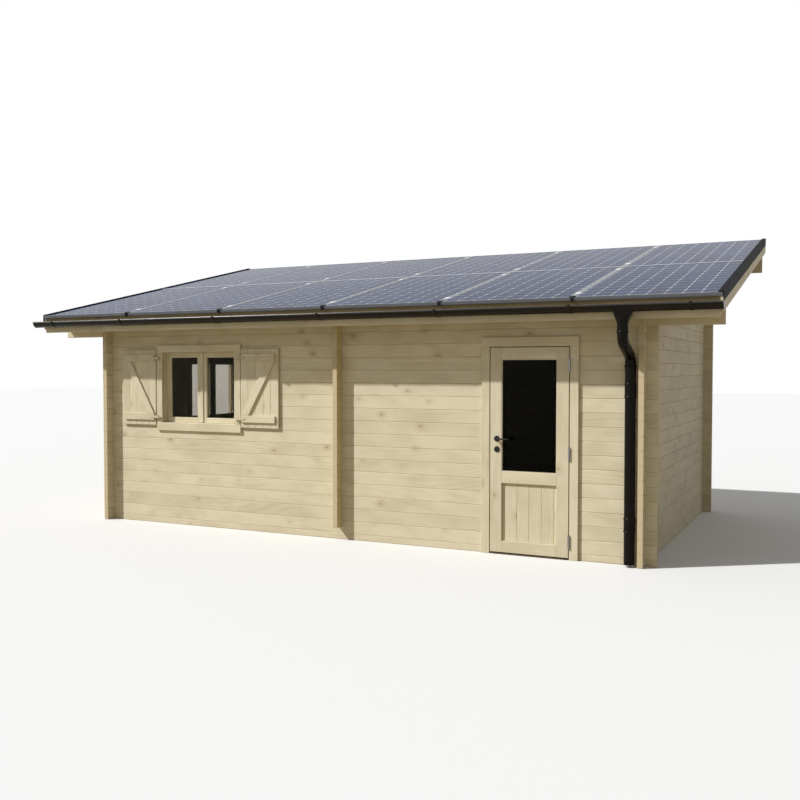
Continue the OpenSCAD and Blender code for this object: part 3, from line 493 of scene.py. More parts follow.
def clear_glass(name, tint):
    """Coated window glass, a little dusty."""
    recipe = Recipe(name)
    smear = recipe.noise(recipe.object_place(), (6.0, 6.0, 6.0), 3.0)
    recipe.set(Base_Color=recipe.mix(recipe.step(smear, 0.5, 0.9, 0.0, 0.3), tint, tuple(
        0.8 * part for part in tint)), Transmission_Weight=1.0, IOR=1.12, Roughness=0.0)
    return recipe.material


def cell_glass(name, across, along, start):
    """Solar cells under glass: cut-cornered cells with pale gaps and fine wires."""
    roof = settings("shed_roof")
    recipe = Recipe(name)
    strings, courses = 8, 12
    side_margin, end_margin = 0.026, 0.016
    wires = 10.0
    x, y, _ = recipe.slope_place(roof.pitch)
    panel_x = recipe.math("FRACT", recipe.math("ADD", recipe.math("DIVIDE", x, across), roof.columns / 2))
    panel_y = recipe.math("FRACT", recipe.math("DIVIDE", recipe.math("SUBTRACT", y, start), along))
    cell_x = recipe.math("MULTIPLY", recipe.math("SUBTRACT", panel_x, side_margin),
                         strings / (1 - 2 * side_margin))
    cell_y = recipe.math("MULTIPLY", recipe.math("SUBTRACT", panel_y, end_margin),
                         courses / (1 - 2 * end_margin))
    edge_x = recipe.math("ABSOLUTE", recipe.math("SUBTRACT", recipe.math("FRACT", cell_x), 0.5))
    edge_y = recipe.math("ABSOLUTE", recipe.math("SUBTRACT", recipe.math("FRACT", cell_y), 0.5))
    gap = recipe.math("MAXIMUM", recipe.step(edge_x, 0.480, 0.488, 0.0, 0.6),
                      recipe.step(edge_y, 0.484, 0.491, 0.0, 0.8))
    corner = recipe.step(recipe.math("ADD", edge_x, edge_y), 0.885, 0.900, 0.0, 0.7)
    gap = recipe.math("MAXIMUM", gap, corner)
    bars = recipe.math("ABSOLUTE", recipe.math("SUBTRACT", recipe.math("FRACT", recipe.math(
        "MULTIPLY", cell_x, wires)), 0.5))
    bars = recipe.step(bars, 0.455, 0.475, 0.0, 0.12)
    shade = recipe.white(recipe.math("ADD", recipe.math("FLOOR", cell_x), recipe.math(
        "MULTIPLY", recipe.math("FLOOR", cell_y), 17.0)))
    cell = recipe.mix(shade, tuple(roof.cell), tuple(1.35 * part for part in roof.cell))
    colour = recipe.mix(recipe.math("MAXIMUM", gap, bars), cell, tuple(roof.wire))
    smear = recipe.noise(recipe.object_place(), (1.3, 1.3, 1.3), 4.0)
    recipe.set(Base_Color=colour, Roughness=recipe.step(smear, 0.3, 0.8, 0.05, 0.14), IOR=1.035)
    return recipe.material


# Mesh helpers


def cuboid(mesh, low, high):
    """Adds a sharp box between two corners and returns its corners."""
    low, high = Vector(low), Vector(high)
    made = bmesh.ops.create_cube(mesh, size=1.0)["verts"]
    bmesh.ops.scale(mesh, vec=high - low, verts=made)
    bmesh.ops.translate(mesh, vec=(low + high) / 2, verts=made)
    return made


def ease(mesh, verts, width):
    """Eases every edge that meets the corners of a new shape."""
    edges = list({edge for vert in verts for edge in vert.link_edges})
    bmesh.ops.bevel(mesh, geom=edges, offset=width, offset_type="OFFSET", affect="EDGES", segments=2,
                    profile=0.5, material=-1, clamp_overlap=True)


def block(mesh, low, high, edge):
    """Adds a box between two corners, with eased edges."""
    ease(mesh, cuboid(mesh, low, high), edge)


class Boards:
    """A mesh of planed boards; each carries its own grain direction and number"""

    def __init__(self, seed):
        self.mesh = bmesh.new()
        self.grain = self.mesh.verts.layers.float_vector.new("grain")
        self.number = self.mesh.verts.layers.float.new("board")
        self.draw = random.Random(seed)

    def add(self, low, high, along="Z", edge=None):
        """Adds one board between two corners, with its grain along an axis."""
        old = set(self.mesh.verts)
        block(self.mesh, low, high, settings("shed_wood").edge if edge is None else edge)
        self.mark([vert for vert in self.mesh.verts if vert not in old], along)

    def mark(self, verts, along):
        """Writes a board's grain coordinates and number on its corners."""
        number = self.draw.random()
        slide = self.draw.uniform(0.0, 5.0)
        order = {"X": (0, 2, 1), "Y": (1, 0, 2), "Z": (2, 0, 1)}[along]
        for vert in verts:
            spot = [vert.co[i] for i in order]
            vert[self.grain] = (spot[0] + slide, spot[1] + 0.37 * slide, spot[2])
            vert[self.number] = number

    def ring(self, low, high, width, edge=None):
        """Adds four boards round an opening in the XZ plane, the upright ones running full height."""
        side, top, foot = width
        self.add(low, (low[0] + side, high[1], high[2]), "Z", edge)
        self.add((high[0] - side, low[1], low[2]), high, "Z", edge)
        self.add((low[0] + side, low[1], high[2] - top), (high[0] - side, high[1], high[2]), "X", edge)
        self.add((low[0] + side, low[1], low[2]), (high[0] - side, high[1], low[2] + foot), "X", edge)

    def finish(self, name, material, body, nodes=(), place=None):
        """Makes the boards a piece of the shed."""
        if place is not None:
            bmesh.ops.transform(self.mesh, matrix=place, verts=self.mesh.verts[:])
        make_piece(name, self.mesh, material, body, nodes)


def make_piece(name, mesh, material, body, nodes=(), rounded=False):
    """Turns a bmesh into a piece that rides on a body, and stands for nodes where it replaces them."""
    bmesh.ops.recalc_face_normals(mesh, faces=mesh.faces[:])
    mesh.normal_update()
    for face in mesh.faces:
        face.smooth = rounded
    if rounded:
        for edge in mesh.edges:
            edge.smooth = len(edge.link_faces) == 2 and edge.calc_face_angle() < CREASE
    data = bpy.data.meshes.new(name)
    mesh.to_mesh(data)
    mesh.free()
    data.materials.append(material)
    piece = bpy.data.objects.new(name, data)
    bpy.context.scene.collection.objects.link(piece)
    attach(piece, body)
    if nodes:
        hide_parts(*nodes)


def turned(mesh, outline, centre, axis, steps=32):
    """Spins an outline of (radius, height) points round an axis through a centre."""
    up = Vector(axis).normalized()
    side = up.orthogonal().normalized()
    centre = Vector(centre)
    verts = [mesh.verts.new(centre + side * radius + up * height) for radius, height in outline]
    edges = [mesh.edges.new(pair) for pair in zip(verts, verts[1:])]
    bmesh.ops.spin(mesh, geom=verts + edges, cent=centre, axis=up, dvec=(0, 0, 0),
                   angle=TAU, steps=steps, use_merge=True, use_duplicate=False)
    bmesh.ops.remove_doubles(mesh, verts=mesh.verts[:], dist=1e-6)


def nail_head(mesh, spot):
    """Adds a flat nail head on a face that looks towards -Y."""
    outline = [(0.0, 0.0012), (0.7 * NAIL_RADIUS, 0.0011), (NAIL_RADIUS, 0.0005), (NAIL_RADIUS, 0.0)]
    turned(mesh, outline, spot, (0, -1, 0), 12)


def dress(nodes, material):
    """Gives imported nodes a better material."""
    for name in nodes:
        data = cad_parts[name].data
        data.materials.clear()
        data.materials.append(material)


def roof_matrix():
    """From the roof's own slope coordinates to the shed's."""
    roof = settings("shed_roof")
    low, _ = node_box("front_purlin")
    return Matrix.Translation((0.0, low.y, roof.bearing)) @ Matrix.Rotation(roof.pitch, 4, "X")


def panel_pitch():
    """Distance from one panel's left edge to the next one's."""
    roof = settings("shed_roof")
    low, high = node_box("panel_frames")
    return (high.x - low.x + roof.gap) / roof.columns


# Pieces


class SHED_OT_walls(bpy.types.Operator):
    """Finishes the log walls, purlins, rafters and battens"""

    bl_idname = "shed.walls"
    bl_label = "Log walls"

    def execute(self, context):
        half = settings("shed_wood").log_height / 2
        side_joint = 0.6
        dress(("front_wall_lower", "front_wall_left", "front_wall_middle", "front_wall_right",
               "front_wall_top", "front_purlin"), log_wood("pine_front_logs", False, half, 3.0))
        dress(("rear_wall", "rear_purlin"), log_wood("pine_rear_logs", False, half, 71.0))
        dress(("right_wall",), log_wood("pine_right_logs", True, 0.0, 133.0, side_joint))
        dress(("left_wall_lower", "left_wall_front", "left_wall_rear", "left_wall_top"),
              log_wood("pine_left_logs", True, 0.0, 201.0, side_joint))
        # The crossing logs' warmer, darker tint is painted shade and warm bounce light on their shaded
        # sides.
        dress(("front_stub_logs", "rear_stub_logs"),
              log_wood("pine_stub_logs", True, 0.0, 277.0, tint=(0.97, 0.88, 0.66)))
        # The rafters' darker, warmer tint is painted shade under the eaves and verges.
        dress(("rafters",), roof_wood("pine_rafters", True, (0.80, 0.73, 0.56)))
        # The battens' dark tint is painted shade under the panels' front edge.
        dress(("battens",), roof_wood("pine_battens", False, (0.48, 0.43, 0.33)))
        return {"FINISHED"}


class SHED_OT_door_casing(bpy.types.Operator):
    """Builds the casing, lining and stops of the doorway and its threshold"""

    bl_idname = "shed.door_casing"
    bl_label = "Door casing"

    def execute(self, context):
        joinery = settings("shed_joinery")
        boards = Boards(settings("shed_wood").seed)
        left_low, left_high = node_box("door_jamb_left")
        right_low, right_high = node_box("door_jamb_right")
        head_low, head_high = node_box("door_head")
        leaf_low, leaf_high = node_box("door_leaf")
        lining, fine_edge, clearance = 0.028, 0.001, 0.002
        gap = left_high.z - leaf_high.z
        wall_face = left_low.y + joinery.casing
        stop = leaf_high.y + gap - clearance
        inner = (leaf_low.x - gap, leaf_high.x + gap)
        boards.add(left_low, (inner[0], wall_face, left_high.z))
        boards.add((inner[1], right_low.y, 0.0), (right_high.x, wall_face, right_high.z))
        boards.add((head_low.x, head_low.y, left_high.z), (head_high.x, wall_face, head_high.z), "X")
        lap = left_high.x - leaf_low.x
        wide = (inner[0] - lining, inner[1] + lining)
        top = head_high.z - (wide[0] - left_low.x)
        boards.add((wide[0], wall_face, 0.0), (inner[0], stop, left_high.z), edge=fine_edge)
        boards.add((inner[1], wall_face, 0.0), (wide[1], stop, left_high.z), edge=fine_edge)
        boards.add((wide[0], wall_face, left_high.z), (wide[1], stop, top), "X", fine_edge)
        boards.add((wide[0], stop, 0.0), (left_high.x, left_high.y, leaf_high.z - lap))
        boards.add((right_low.x, stop, 0.0), (wide[1], right_high.y, leaf_high.z - lap))
        boards.add((wide[0], stop, leaf_high.z - lap), (wide[1], head_high.y, top), "X")
        boards.finish("door_casing", board_wood("pine_door_casing"), SHED,
                      ("door_jamb_left", "door_jamb_right", "door_head"))
        dress(("door_threshold",), coated_metal("threshold_oak", (0.10, 0.065, 0.04), 0.6))
        return {"FINISHED"}


class SHED_OT_door_leaf(bpy.types.Operator):
    """Builds the door leaf's stiles, rails, boarded panel and glazing beads"""

    bl_idname = "shed.door_leaf"
    bl_label = "Door leaf"

    def execute(self, context):
        joinery = settings("shed_joinery")
        boards = Boards(settings("shed_wood").seed + 1)
        low, high = node_box("door_leaf")
        pane_low, pane_high = node_box("door_glass")
        left, right = pane_low.x, pane_high.x
        panel_foot = low.z + joinery.leaf_rail
        panel_head = panel_foot + joinery.leaf_panel
        boards.add(low, (left, high.y, high.z))
        boards.add((right, low.y, low.z), high)
        for foot, head in ((low.z, panel_foot), (panel_head, pane_low.z), (pane_high.z, high.z)):
            boards.add((left, low.y, foot), (right, high.y, head), "X")
        groove, bead_set, bead_edge = 0.0045, 0.003, 0.002
        pitch = joinery.leaf_board
        whole = int((right - left) / pitch)
        strip = (right - left - whole * pitch) / 2
        joints = [left] + [left + strip + i * pitch for i in range(whole + 1)] + [right]
        for start, stop in zip(joints, joints[1:]):
            boards.add((start, low.y + joinery.panel_recess, panel_foot),
                       (stop, high.y - joinery.panel_back, panel_head), edge=groove)
        bead = joinery.bead
        for near, far in ((low.y + bead_set, pane_low.y), (pane_high.y, high.y - bead_set)):
            boards.ring((left, near, pane_low.z), (right, far, pane_high.z), (bead, bead, bead),
                        bead_edge)
        boards.finish("door_leaf_boards", board_wood("pine_door_leaf"), DOOR,
                      ("door_leaf",))
        # The door pane's near-black tint is painted shade: it darkens the view into the unlit room behind
        # it.
        dress(("door_glass",), clear_glass("door_pane", (0.16, 0.14, 0.11)))
        return {"FINISHED"}


class SHED_OT_door_furniture(bpy.types.Operator):
    """Builds the lever, the roses and the hinges' finish"""

    bl_idname = "shed.door_furniture"
    bl_label = "Door furniture"

    def execute(self, context):
        black = coated_metal("black_lever", (0.004, 0.004, 0.0042), 0.4)
        steel = coated_metal("zinc_hinge", (0.26, 0.26, 0.25), 0.42, 1.0)
        dress(("door_hinge_leaves", "door_hinge_posts"), steel)
        low, high = node_box("door_lever")
        leaf_low, leaf_high = node_box("door_leaf")
        rose_low, rose_high = node_box("door_roses")
        radius = (high.z - low.z) / 2
        axis_x = low.x + radius
        axis_z = (low.z + high.z) / 2
        rose = (rose_high.x - rose_low.x) / 2
        thick = leaf_low.y - rose_low.y
        mesh = bmesh.new()
        lock_z = rose_low.z + rose
        outline = [(0.0, thick), (rose - 0.006, thick), (rose - 0.002, thick - 0.0012),
                   (rose, thick - 0.004), (rose, 0.0)]
        for face, way in ((leaf_low.y, -1.0), (leaf_high.y, 1.0)):
            for height in (axis_z, lock_z):
                turned(mesh, outline, (axis_x, face, height), (0, way, 0), 48)
            slot = Vector((axis_x, face + way * thick, lock_z))
            cuboid(mesh, slot - Vector((0.0025, 0.0006, 0.011)), slot + Vector((0.0025, 0.0006, 0.004)))
        make_piece("door_rose_discs", mesh, black, DOOR, ("door_roses",), rounded=True)
        mesh = bmesh.new()
        clearance = 0.002
        length = high.x - axis_x
        for end, face in ((low.y, leaf_low.y), (high.y, leaf_high.y)):
            way = 1.0 if end > face else -1.0
            bar = end - way * radius
            reach = abs(end - face)
            neck = [(0.0, clearance), (radius, clearance), (radius, 0.7 * abs(bar - face)),
                    (0.9 * radius, reach - 0.002), (0.0, reach)]
            turned(mesh, neck, (axis_x, face, axis_z), (0, way, 0), 24)
            grip = [(0.0, 0.0), (0.92 * radius, 0.0), (0.8 * radius, 0.06), (0.78 * radius, 0.100),
                    (0.72 * radius, length - 0.004), (0.5 * radius, length - 0.001), (0.0, length)]
            turned(mesh, grip, (axis_x, bar, axis_z), (1, 0, 0), 20)
        make_piece("door_lever_handle", mesh, black, LEVER, ("door_lever",), rounded=True)
        return {"FINISHED"}


class SHED_OT_windows(bpy.types.Operator):
    """Builds the casings, linings and sashes of the front and left windows"""

    bl_idname = "shed.windows"
    bl_label = "Windows"

    def execute(self, context):
        wood = board_wood("pine_windows")
        glass = clear_glass("window_panes", (0.62, 0.60, 0.56))
        self.window("front", wood, glass, Matrix.Identity(4))
        side_low, side_high = node_box("left_wall_lower")
        frame_low, frame_high = node_box("left_window_frame")
        middle = Vector(((side_low.x + side_high.x) / 2, (frame_low.y + frame_high.y) / 2, 0.0))
        place = Matrix.Translation(middle) @ Matrix.Rotation(-math.pi / 2, 4, "Z")
        self.window("left", wood, glass, place)
        return {"FINISHED"}

    def placed_box(self, node, back):
        """Lowest and highest corners of a node, brought back to a window that looks towards -Y."""
        corners = [back @ corner for corner in node_box(node)]
        return (Vector([min(corner[i] for corner in corners) for i in range(3)]),
                Vector([max(corner[i] for corner in corners) for i in range(3)]))

    def window(self, side, wood, glass, place):
        """One window, made as if it looked towards -Y and then put in its wall."""
        joinery = settings("shed_joinery")
        back = place.inverted()
        fine_edge = 0.001
        low, high = self.placed_box(side + "_window_frame", back)
        face = low.y + joinery.casing
        width, lap = joinery.window_board, joinery.window_lap
        boards = Boards(settings("shed_wood").seed + len(side))
        boards.add((low.x, low.y, high.z - width[1]), (high.x, face, high.z), "X")
        boards.add(low, (high.x, face, low.z + width[2]), "X")
        boards.add((low.x, low.y, low.z + width[2]), (low.x + width[0], face, high.z - width[1]))
        boards.add((high.x - width[0], low.y, low.z + width[2]), (high.x, face, high.z - width[1]))
        boards.ring((low.x + lap[0], face, low.z + lap[2]), (high.x - lap[0], high.y, high.z - lap[1]),
                    (width[0] - lap[0], width[1] - lap[1], width[2] - lap[2]), fine_edge)
        boards.finish(side + "_window_casing", wood, SHED, (side + "_window_frame",),
                      place)
        low, high = self.placed_box(side + "_window_sashes", back)
        middle = (low.x + high.x) / 2
        sash, bead = joinery.sash, joinery.bead
        half_gap = 0.001
        bead_front, bead_back = 0.004, 0.011
        cover_half, cover_out, cover_in, cover_edge = 0.020, 0.010, 0.004, 0.006
        boards = Boards(settings("shed_wood").seed + 10 + len(side))
        for left, right in ((low.x, middle - half_gap), (middle + half_gap, high.x)):
            boards.ring((left, low.y, low.z), (right, high.y, high.z), (sash, sash, sash))
            boards.ring((left + sash, low.y + bead_front, low.z + sash),
                        (right - sash, low.y + bead_back, high.z - sash),
                        (bead, bead / 4, bead / 4), fine_edge)
        boards.add((middle - cover_half, low.y - cover_out, low.z + cover_in),
                   (middle + cover_half, low.y, high.z - cover_in), edge=cover_edge)
        boards.finish(side + "_window_sash_boards", wood, SHED,
                      (side + "_window_sashes",), place)
        dress((side + "_window_glass",), glass)


class SHED_OT_shutters(bpy.types.Operator):
    """Builds the two ledged and braced shutters and finishes their ironwork"""

    bl_idname = "shed.shutters"
    bl_label = "Shutters"

    def execute(self, context):
        wood = board_wood("pine_shutters")
        paint = coated_metal("strap_paint", (0.58, 0.51, 0.36), 0.55, shine=0.2)
        dress(("left_shutter_straps", "right_shutter_straps", "shutter_pintles"), paint)
        self.shutter("left_shutter", LEFT_SHUTTER, True, wood, paint)
        self.shutter("right_shutter", RIGHT_SHUTTER, False, wood, paint)
        return {"FINISHED"}

    def shutter(self, node, body, hinge_right, wood, paint):
        """One shutter, open against the wall."""
        joinery = settings("shed_joinery")
        low, high = node_box(node)
        boards = Boards(settings("shed_wood").seed + (40 if hinge_right else 50))
        face = low.y + joinery.ledge_depth
        width = (high.x - low.x) / joinery.shutter_boards
        groove = 0.004
        for i in range(joinery.shutter_boards):
            boards.add((low.x + i * width, face, low.z), (low.x + (i + 1) * width, high.y, high.z),
                       edge=groove)
        free, hung = joinery.ledge_short, joinery.ledge_start
        left, right = (low.x + free, high.x - hung) if hinge_right else (low.x + hung, high.x - free)
        foot = low.z + joinery.ledge_in
        head = high.z - joinery.ledge_in - joinery.ledge
        for z in (foot, head):
            boards.add((left, low.y, z), (right, face, z + joinery.ledge), "X")
        start = Vector((right if hinge_right else left, 0.0, foot + joinery.ledge))
        stop = Vector((left if hinge_right else right, 0.0, head))
        self.brace(boards, start, stop, low.y, face, joinery.ledge)
        boards.finish(node + "_boards", wood, body, (node,))
        nails = bmesh.new()
        for i in range(joinery.shutter_boards):
            x = low.x + (i + 0.5) * width
            for z in (foot, head):
                for part in NAIL_PLACES:
                    nail_head(nails, (x + (part - 0.5) * width / 2, low.y, z + part * joinery.ledge))
        make_piece(node + "_nails", nails, paint, body, rounded=True)

    def brace(self, boards, start, stop, front, back, width):
        """A slanting board whose ends are cut level against the two ledges."""
        run = stop - start
        slant = width * run.length / run.z * (1 if run.x > 0 else -1)
        corners = [start, start + Vector((slant, 0, 0)), stop, stop - Vector((slant, 0, 0))]
        verts = [boards.mesh.verts.new((corner.x, front, corner.z)) for corner in corners]
        old = set(boards.mesh.verts) - set(verts)
        face = boards.mesh.faces.new(verts)
        made = bmesh.ops.extrude_face_region(boards.mesh, geom=[face])["geom"]
        moved = [item for item in made if isinstance(item, bmesh.types.BMVert)]
        bmesh.ops.translate(boards.mesh, vec=(0, back - front, 0), verts=moved)
        ease(boards.mesh, verts + moved, settings("shed_wood").edge)
        new = [vert for vert in boards.mesh.verts if vert not in old]
        turn = Matrix.Rotation(math.atan2(run.x, run.z), 4, "Y").inverted()
        bmesh.ops.transform(boards.mesh, matrix=turn, verts=new)
        boards.mark(new, "Z")
        bmesh.ops.transform(boards.mesh, matrix=turn.inverted(), verts=new)


class SHED_OT_roof(bpy.types.Operator):
    """Builds the roof boards, fascias and barge boards"""

    bl_idname = "shed.roof"
    bl_label = "Roof timber"

    def execute(self, context):
        roof = settings("shed_roof")
        place = roof_matrix()
        back = place.inverted()
        low, high = node_box("roof_boards")
        front = (back @ Vector((0.0, low.y, low.z + roof.deck))).y
        rear = (back @ Vector((0.0, high.y, high.z - roof.deck))).y
        deck = Boards(settings("shed_wood").seed + 60)
        count = round((rear - front) / roof.board)
        width = (rear - front) / count
        joint = 0.0015
        for i in range(count):
            start = front + i * width
            deck.add((low.x, start, roof.rafter),
                     (high.x, start + width - joint, roof.rafter + roof.deck), "X")
        # The roof boards' darker, warmer tint is painted shade on the soffit under the overhang.
        painted_shade_roof_pine = board_wood("pine_roof_boards", (0.64, 0.58, 0.44))
        deck.finish("roof_board_rows", painted_shade_roof_pine, SHED, ("roof_boards",), place)
        trim = Boards(settings("shed_wood").seed + 61)
        for node in ("front_fascia", "rear_fascia"):
            low, high = node_box(node)
            drop = 0.0
            if node == "front_fascia":
                drop = (high.y - low.y) * math.tan(roof.pitch) + roof.fascia_low
            trim.add(low, high - Vector((0, 0, drop)), "X")
        trim.finish("fascia_boards", board_wood("pine_fascia"), SHED,
                    ("front_fascia", "rear_fascia"))
        dress(("left_barge_board", "right_barge_board"), slope_wood("pine_barge"))
        return {"FINISHED"}


class SHED_OT_panels(bpy.types.Operator):
    """Finishes the solar panels, their clamps and the verge flashings"""

    bl_idname = "shed.panels"
    bl_label = "Solar panels"

    def execute(self, context):
        roof = settings("shed_roof")
        back = roof_matrix().inverted()
        low, high = node_box("panel_frames")
        pitch_x = panel_pitch()
        top = roof.rafter + roof.deck + roof.batten + roof.panel
        start = (back @ Vector((0, low.y, low.z + roof.panel))).y
        stop = (back @ Vector((0, high.y, high.z - roof.panel))).y
        offset = (Matrix.Rotation(-roof.pitch, 4, "X") @ roof_matrix().translation).y
        cells = cell_glass("solar_cells", pitch_x, (stop - start + roof.gap) / 2, start + offset)
        dress(("panel_glass",), cells)
        dress(("panel_frames",), coated_metal("anodised_frame", (0.15, 0.155, 0.165), 0.38, 1.0))
        dress(("panel_clamps",), coated_metal("bright_clamp", (0.80, 0.81, 0.82), 0.40, 0.5))
        self.hooks(low.x, pitch_x, start, top)
        self.seams(low.x, pitch_x, start, stop, top)
        sheet = coated_metal("flashing_coat", tuple(roof.flashing), 0.5, shine=0.01)
        dress(("left_verge_flashing", "right_verge_flashing"), sheet)
        return {"FINISHED"}

    def seams(self, left, pitch_x, front, rear, top):
        """Dark cover strips with a bright rib that close the seams between the panels."""
        roof = settings("shed_roof")
        middle = (front + rear) / 2
        fine_edge, front_in, rear_in = 0.001, 0.05, 0.004
        strips = (("panel_seam_strips", roof.gap / 2 - 0.001, top - 0.010, top - 0.0005,
                   coated_metal("seam_strip", (0.10, 0.105, 0.115), 0.42, 0.6)),
                  ("panel_seam_ribs", roof.gap / 6, top - 0.001, top + 0.0015,
                   coated_metal("seam_rib", (0.66, 0.68, 0.70), 0.42, 0.5)))
        for name, edge, low, high, metal in strips:
            mesh = bmesh.new()
            for i in range(1, roof.columns):
                seam = left + i * pitch_x - roof.gap / 2
                block(mesh, (seam - edge, front + front_in, low), (seam + edge, rear - rear_in, high),
                      fine_edge)
            for i in range(roof.columns):
                start = left + i * pitch_x
                block(mesh, (start, middle - edge, low),
                      (start + pitch_x - roof.gap, middle + edge, high), fine_edge)
            bmesh.ops.transform(mesh, matrix=roof_matrix(), verts=mesh.verts[:])
            make_piece(name, mesh, metal, SHED)

    def hooks(self, left, pitch_x, front, top):
        """Black end clamps where two panels meet at the eaves."""
        roof = settings("shed_roof")
        width, depth, height = roof.hook
        half = roof.gap / 2 - 0.001
        edge = 0.002
        mesh = bmesh.new()
        for i in range(1, roof.columns):
            seam = left + i * pitch_x - roof.gap / 2
            block(mesh, (seam - half, front - depth / 2, top - height + 0.006),
                  (seam + half, front + depth, top + 0.004), edge)
            block(mesh, (seam - width / 2, front + depth / 3, top + 0.0005),
                  (seam + width / 2, front + depth, top + 0.0065), edge)
        bmesh.ops.transform(mesh, matrix=roof_matrix(), verts=mesh.verts[:])
        black = coated_metal("black_hook", (0.006, 0.006, 0.007), 0.45)
        make_piece("panel_hooks", mesh, black, SHED)


class SHED_OT_gutter(bpy.types.Operator):
    """Finishes the gutter and downpipe and adds the bead, the bracket tongues and the pipe's collars"""

    bl_idname = "shed.gutter"
    bl_label = "Gutter and downpipe"

    def execute(self, context):
        roof = settings("shed_roof")
        coat = coated_metal("gutter_coat", tuple(roof.gutter), 0.28, shine=0.16,
                            gloss=(1.0, 0.80, 0.52))
        pipe_coat = coated_metal("pipe_coat", tuple(roof.pipe), 0.24, shine=0.09,
                                 gloss=(1.0, 0.93, 0.82))
        dress(("gutter", "gutter_end_caps", "gutter_brackets"), coat)
        dress(("gutter_outlet", "swan_neck", "downpipe", "pipe_clips"), pipe_coat)
        low, high = node_box("gutter")
        mesh = bmesh.new()
        bead = roof.bead
        length = high.x - low.x
        turned(mesh, [(0.0, 0.0), (bead, 0.0), (bead, length), (0.0, length)],
               (low.x, low.y, high.z), (1, 0, 0), 16)
        rim = coated_metal("bead_coat", tuple(roof.gutter), 0.26, shine=0.55)
        make_piece("gutter_bead", mesh, rim, SHED, rounded=True)
        self.bracket_hooks(low.y, high.z, coat)
        neck_low, neck_high = node_box("swan_neck")
        radius = (neck_high.x - neck_low.x) / 2
        pipe_low, pipe_high = node_box("downpipe")
        centre = (pipe_low + pipe_high) / 2
        mesh = bmesh.new()
        clips_low, clips_high = node_box("pipe_clips")
        for z in (clips_high.z, clips_high.z - roof.sleeve, clips_low.z, clips_low.z + roof.sleeve):
            self.ring(mesh, radius, (centre.x, centre.y, z))
        outlet_low, outlet_high = node_box("gutter_outlet")
        above_neck, below_pipe, socket = 0.012, 0.008, 0.002
        outlet_y = (outlet_low.y + outlet_high.y) / 2
        self.ring(mesh, radius, (centre.x, outlet_y, neck_high.z + above_neck))
        self.ring(mesh, radius + socket, (centre.x, centre.y, pipe_high.z - below_pipe))
        make_piece("pipe_collars", mesh, pipe_coat, SHED, rounded=True)
        return {"FINISHED"}

    def ring(self, mesh, radius, spot):
        """A raised bead round a pipe."""
        turned(mesh, [(radius + out, along) for out, along in PIPE_BEAD], spot, (0, 0, 1), 40)

    def bracket_hooks(self, front, rim, coat):
        """Tongues of the brackets, bent over the bead."""
        roof = settings("shed_roof")
        low, high = node_box("gutter_brackets")
        half = roof.bracket / 2
        tongue, sheet, lap = 0.022, 0.002, 0.001
        top = rim + roof.bead + sheet
        inner = [i * panel_pitch() for i in range(-2, 3)]
        mesh = bmesh.new()
        for x in [low.x + half, *inner, high.x - half]:
            block(mesh, (x - half, front - roof.bead - sheet, rim - tongue), (x + half, front + lap, top),
                  sheet)
            block(mesh, (x - half, front, rim + lap), (x + half, front + tongue, top), sheet)
        make_piece("gutter_bracket_hooks", mesh, coat, SHED)


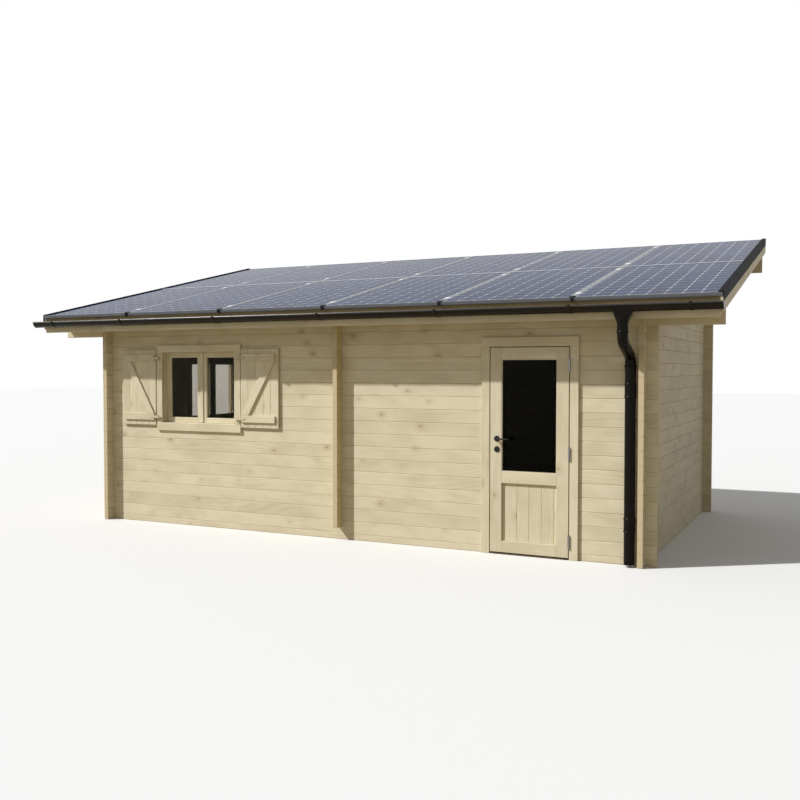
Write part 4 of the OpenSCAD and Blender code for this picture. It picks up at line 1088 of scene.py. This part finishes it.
class SHED_OT_stage(bpy.types.Operator):
    """Sets the camera, the light and the plain floor"""

    bl_idname = "shed.stage"
    bl_label = "Stage"

    def execute(self, context):
        scene = context.scene
        stage = settings("shed_stage")
        scene.view_settings.view_transform = "Standard"
        camera = bpy.data.objects.new("camera", bpy.data.cameras.new("camera"))
        camera.data.sensor_fit = "HORIZONTAL"
        camera.data.sensor_width = 36.0
        camera.data.lens = stage.lens
        camera.data.clip_end = 200.0
        camera.location = stage.eye
        camera.rotation_euler = (math.pi / 2 - stage.tilt, 0.0, stage.yaw)
        scene.collection.objects.link(camera)
        scene.camera = camera
        key = bpy.data.objects.new("key", bpy.data.lights.new("key", "SUN"))
        key.data.energy = stage.key_power
        key.data.angle = stage.key_spread
        key.rotation_euler = Vector(stage.key_travel).to_track_quat("-Z", "Y").to_euler()
        scene.collection.objects.link(key)
        self.world(scene, stage)
        self.floor(scene, stage)
        return {"FINISHED"}

    def world(self, scene, stage):
        """Even light, and white where the camera or a reflection sees past the floor."""
        world = bpy.data.worlds.new("studio")
        world.use_nodes = True
        scene.world = world
        tree = world.node_tree
        background = tree.nodes["Background"]
        path = tree.nodes.new("ShaderNodeLightPath")
        seen = tree.nodes.new("ShaderNodeMath")
        seen.operation = "MAXIMUM"
        passed = tree.nodes.new("ShaderNodeMath")
        passed.operation = "MAXIMUM"
        tree.links.new(path.outputs["Is Glossy Ray"], passed.inputs[0])
        tree.links.new(path.outputs["Is Transmission Ray"], passed.inputs[1])
        tree.links.new(path.outputs["Is Camera Ray"], seen.inputs[0])
        tree.links.new(passed.outputs[0], seen.inputs[1])
        strength = tree.nodes.new("ShaderNodeMapRange")
        strength.inputs["To Max"].default_value = 1.0
        place = tree.nodes.new("ShaderNodeTexCoord")
        parts = tree.nodes.new("ShaderNodeSeparateXYZ")
        tree.links.new(place.outputs["Generated"], parts.inputs[0])
        fall = tree.nodes.new("ShaderNodeMapRange")
        fall_start, fall_stop = -0.8, 0.0
        fall.inputs["From Min"].default_value = fall_start
        fall.inputs["From Max"].default_value = fall_stop
        fall.inputs["To Min"].default_value = stage.fill_power + stage.fill_fall / 2
        fall.inputs["To Max"].default_value = stage.fill_power - stage.fill_fall / 2
        tree.links.new(parts.outputs["X"], fall.inputs["Value"])
        tree.links.new(fall.outputs[0], strength.inputs["To Min"])
        tree.links.new(seen.outputs[0], strength.inputs["Value"])
        tree.links.new(strength.outputs[0], background.inputs["Strength"])
        background.inputs["Color"].default_value = (1.0, 1.0, 1.0, 1.0)

    def floor(self, scene, stage):
        """A wide pale floor that keeps the shadow."""
        mesh = bmesh.new()
        bmesh.ops.create_grid(mesh, x_segments=1, y_segments=1, size=60.0)
        data = bpy.data.meshes.new("floor")
        mesh.to_mesh(data)
        mesh.free()
        recipe = Recipe("floor_paint")
        path = recipe.node("ShaderNodeLightPath").outputs
        seen = recipe.math("MAXIMUM", path["Is Camera Ray"], path["Is Glossy Ray"])
        seen = recipe.math("MAXIMUM", seen, path["Is Transmission Ray"])
        recipe.set(Base_Color=recipe.mix(seen, tuple(stage.bounce), tuple(stage.floor)), Roughness=0.9)
        data.materials.append(recipe.material)
        floor = bpy.data.objects.new("floor", data)
        scene.collection.objects.link(floor)


OPERATORS = (
    SHED_OT_walls, SHED_OT_door_casing, SHED_OT_door_leaf, SHED_OT_door_furniture, SHED_OT_windows,
    SHED_OT_shutters, SHED_OT_roof, SHED_OT_panels, SHED_OT_gutter, SHED_OT_stage,
)


class SHED_PT_panel(bpy.types.Panel):
    """Lists the shed's pieces"""

    bl_idname = "SHED_PT_panel"
    bl_label = "Garden shed"
    bl_space_type = "VIEW_3D"
    bl_region_type = "UI"
    bl_category = "Shed"

    def draw(self, context):
        for operator in OPERATORS:
            self.layout.operator(operator.bl_idname)


def register():
    """Registers the settings, operators and panel."""
    for name, group in SETTINGS:
        bpy.utils.register_class(group)
        setattr(bpy.types.Scene, name, bpy.props.PointerProperty(type=group))
    for operator in OPERATORS:
        bpy.utils.register_class(operator)
    bpy.utils.register_class(SHED_PT_panel)


def unregister():
    """Removes what register added."""
    bpy.utils.unregister_class(SHED_PT_panel)
    for operator in reversed(OPERATORS):
        bpy.utils.unregister_class(operator)
    for name, group in reversed(SETTINGS):
        delattr(bpy.types.Scene, name)
        bpy.utils.unregister_class(group)


def main():
    """Builds every piece in order."""
    register()
    for operator in OPERATORS:
        group, name = operator.bl_idname.split(".")
        getattr(getattr(bpy.ops, group), name)()


if __name__ == "__main__":
    main()
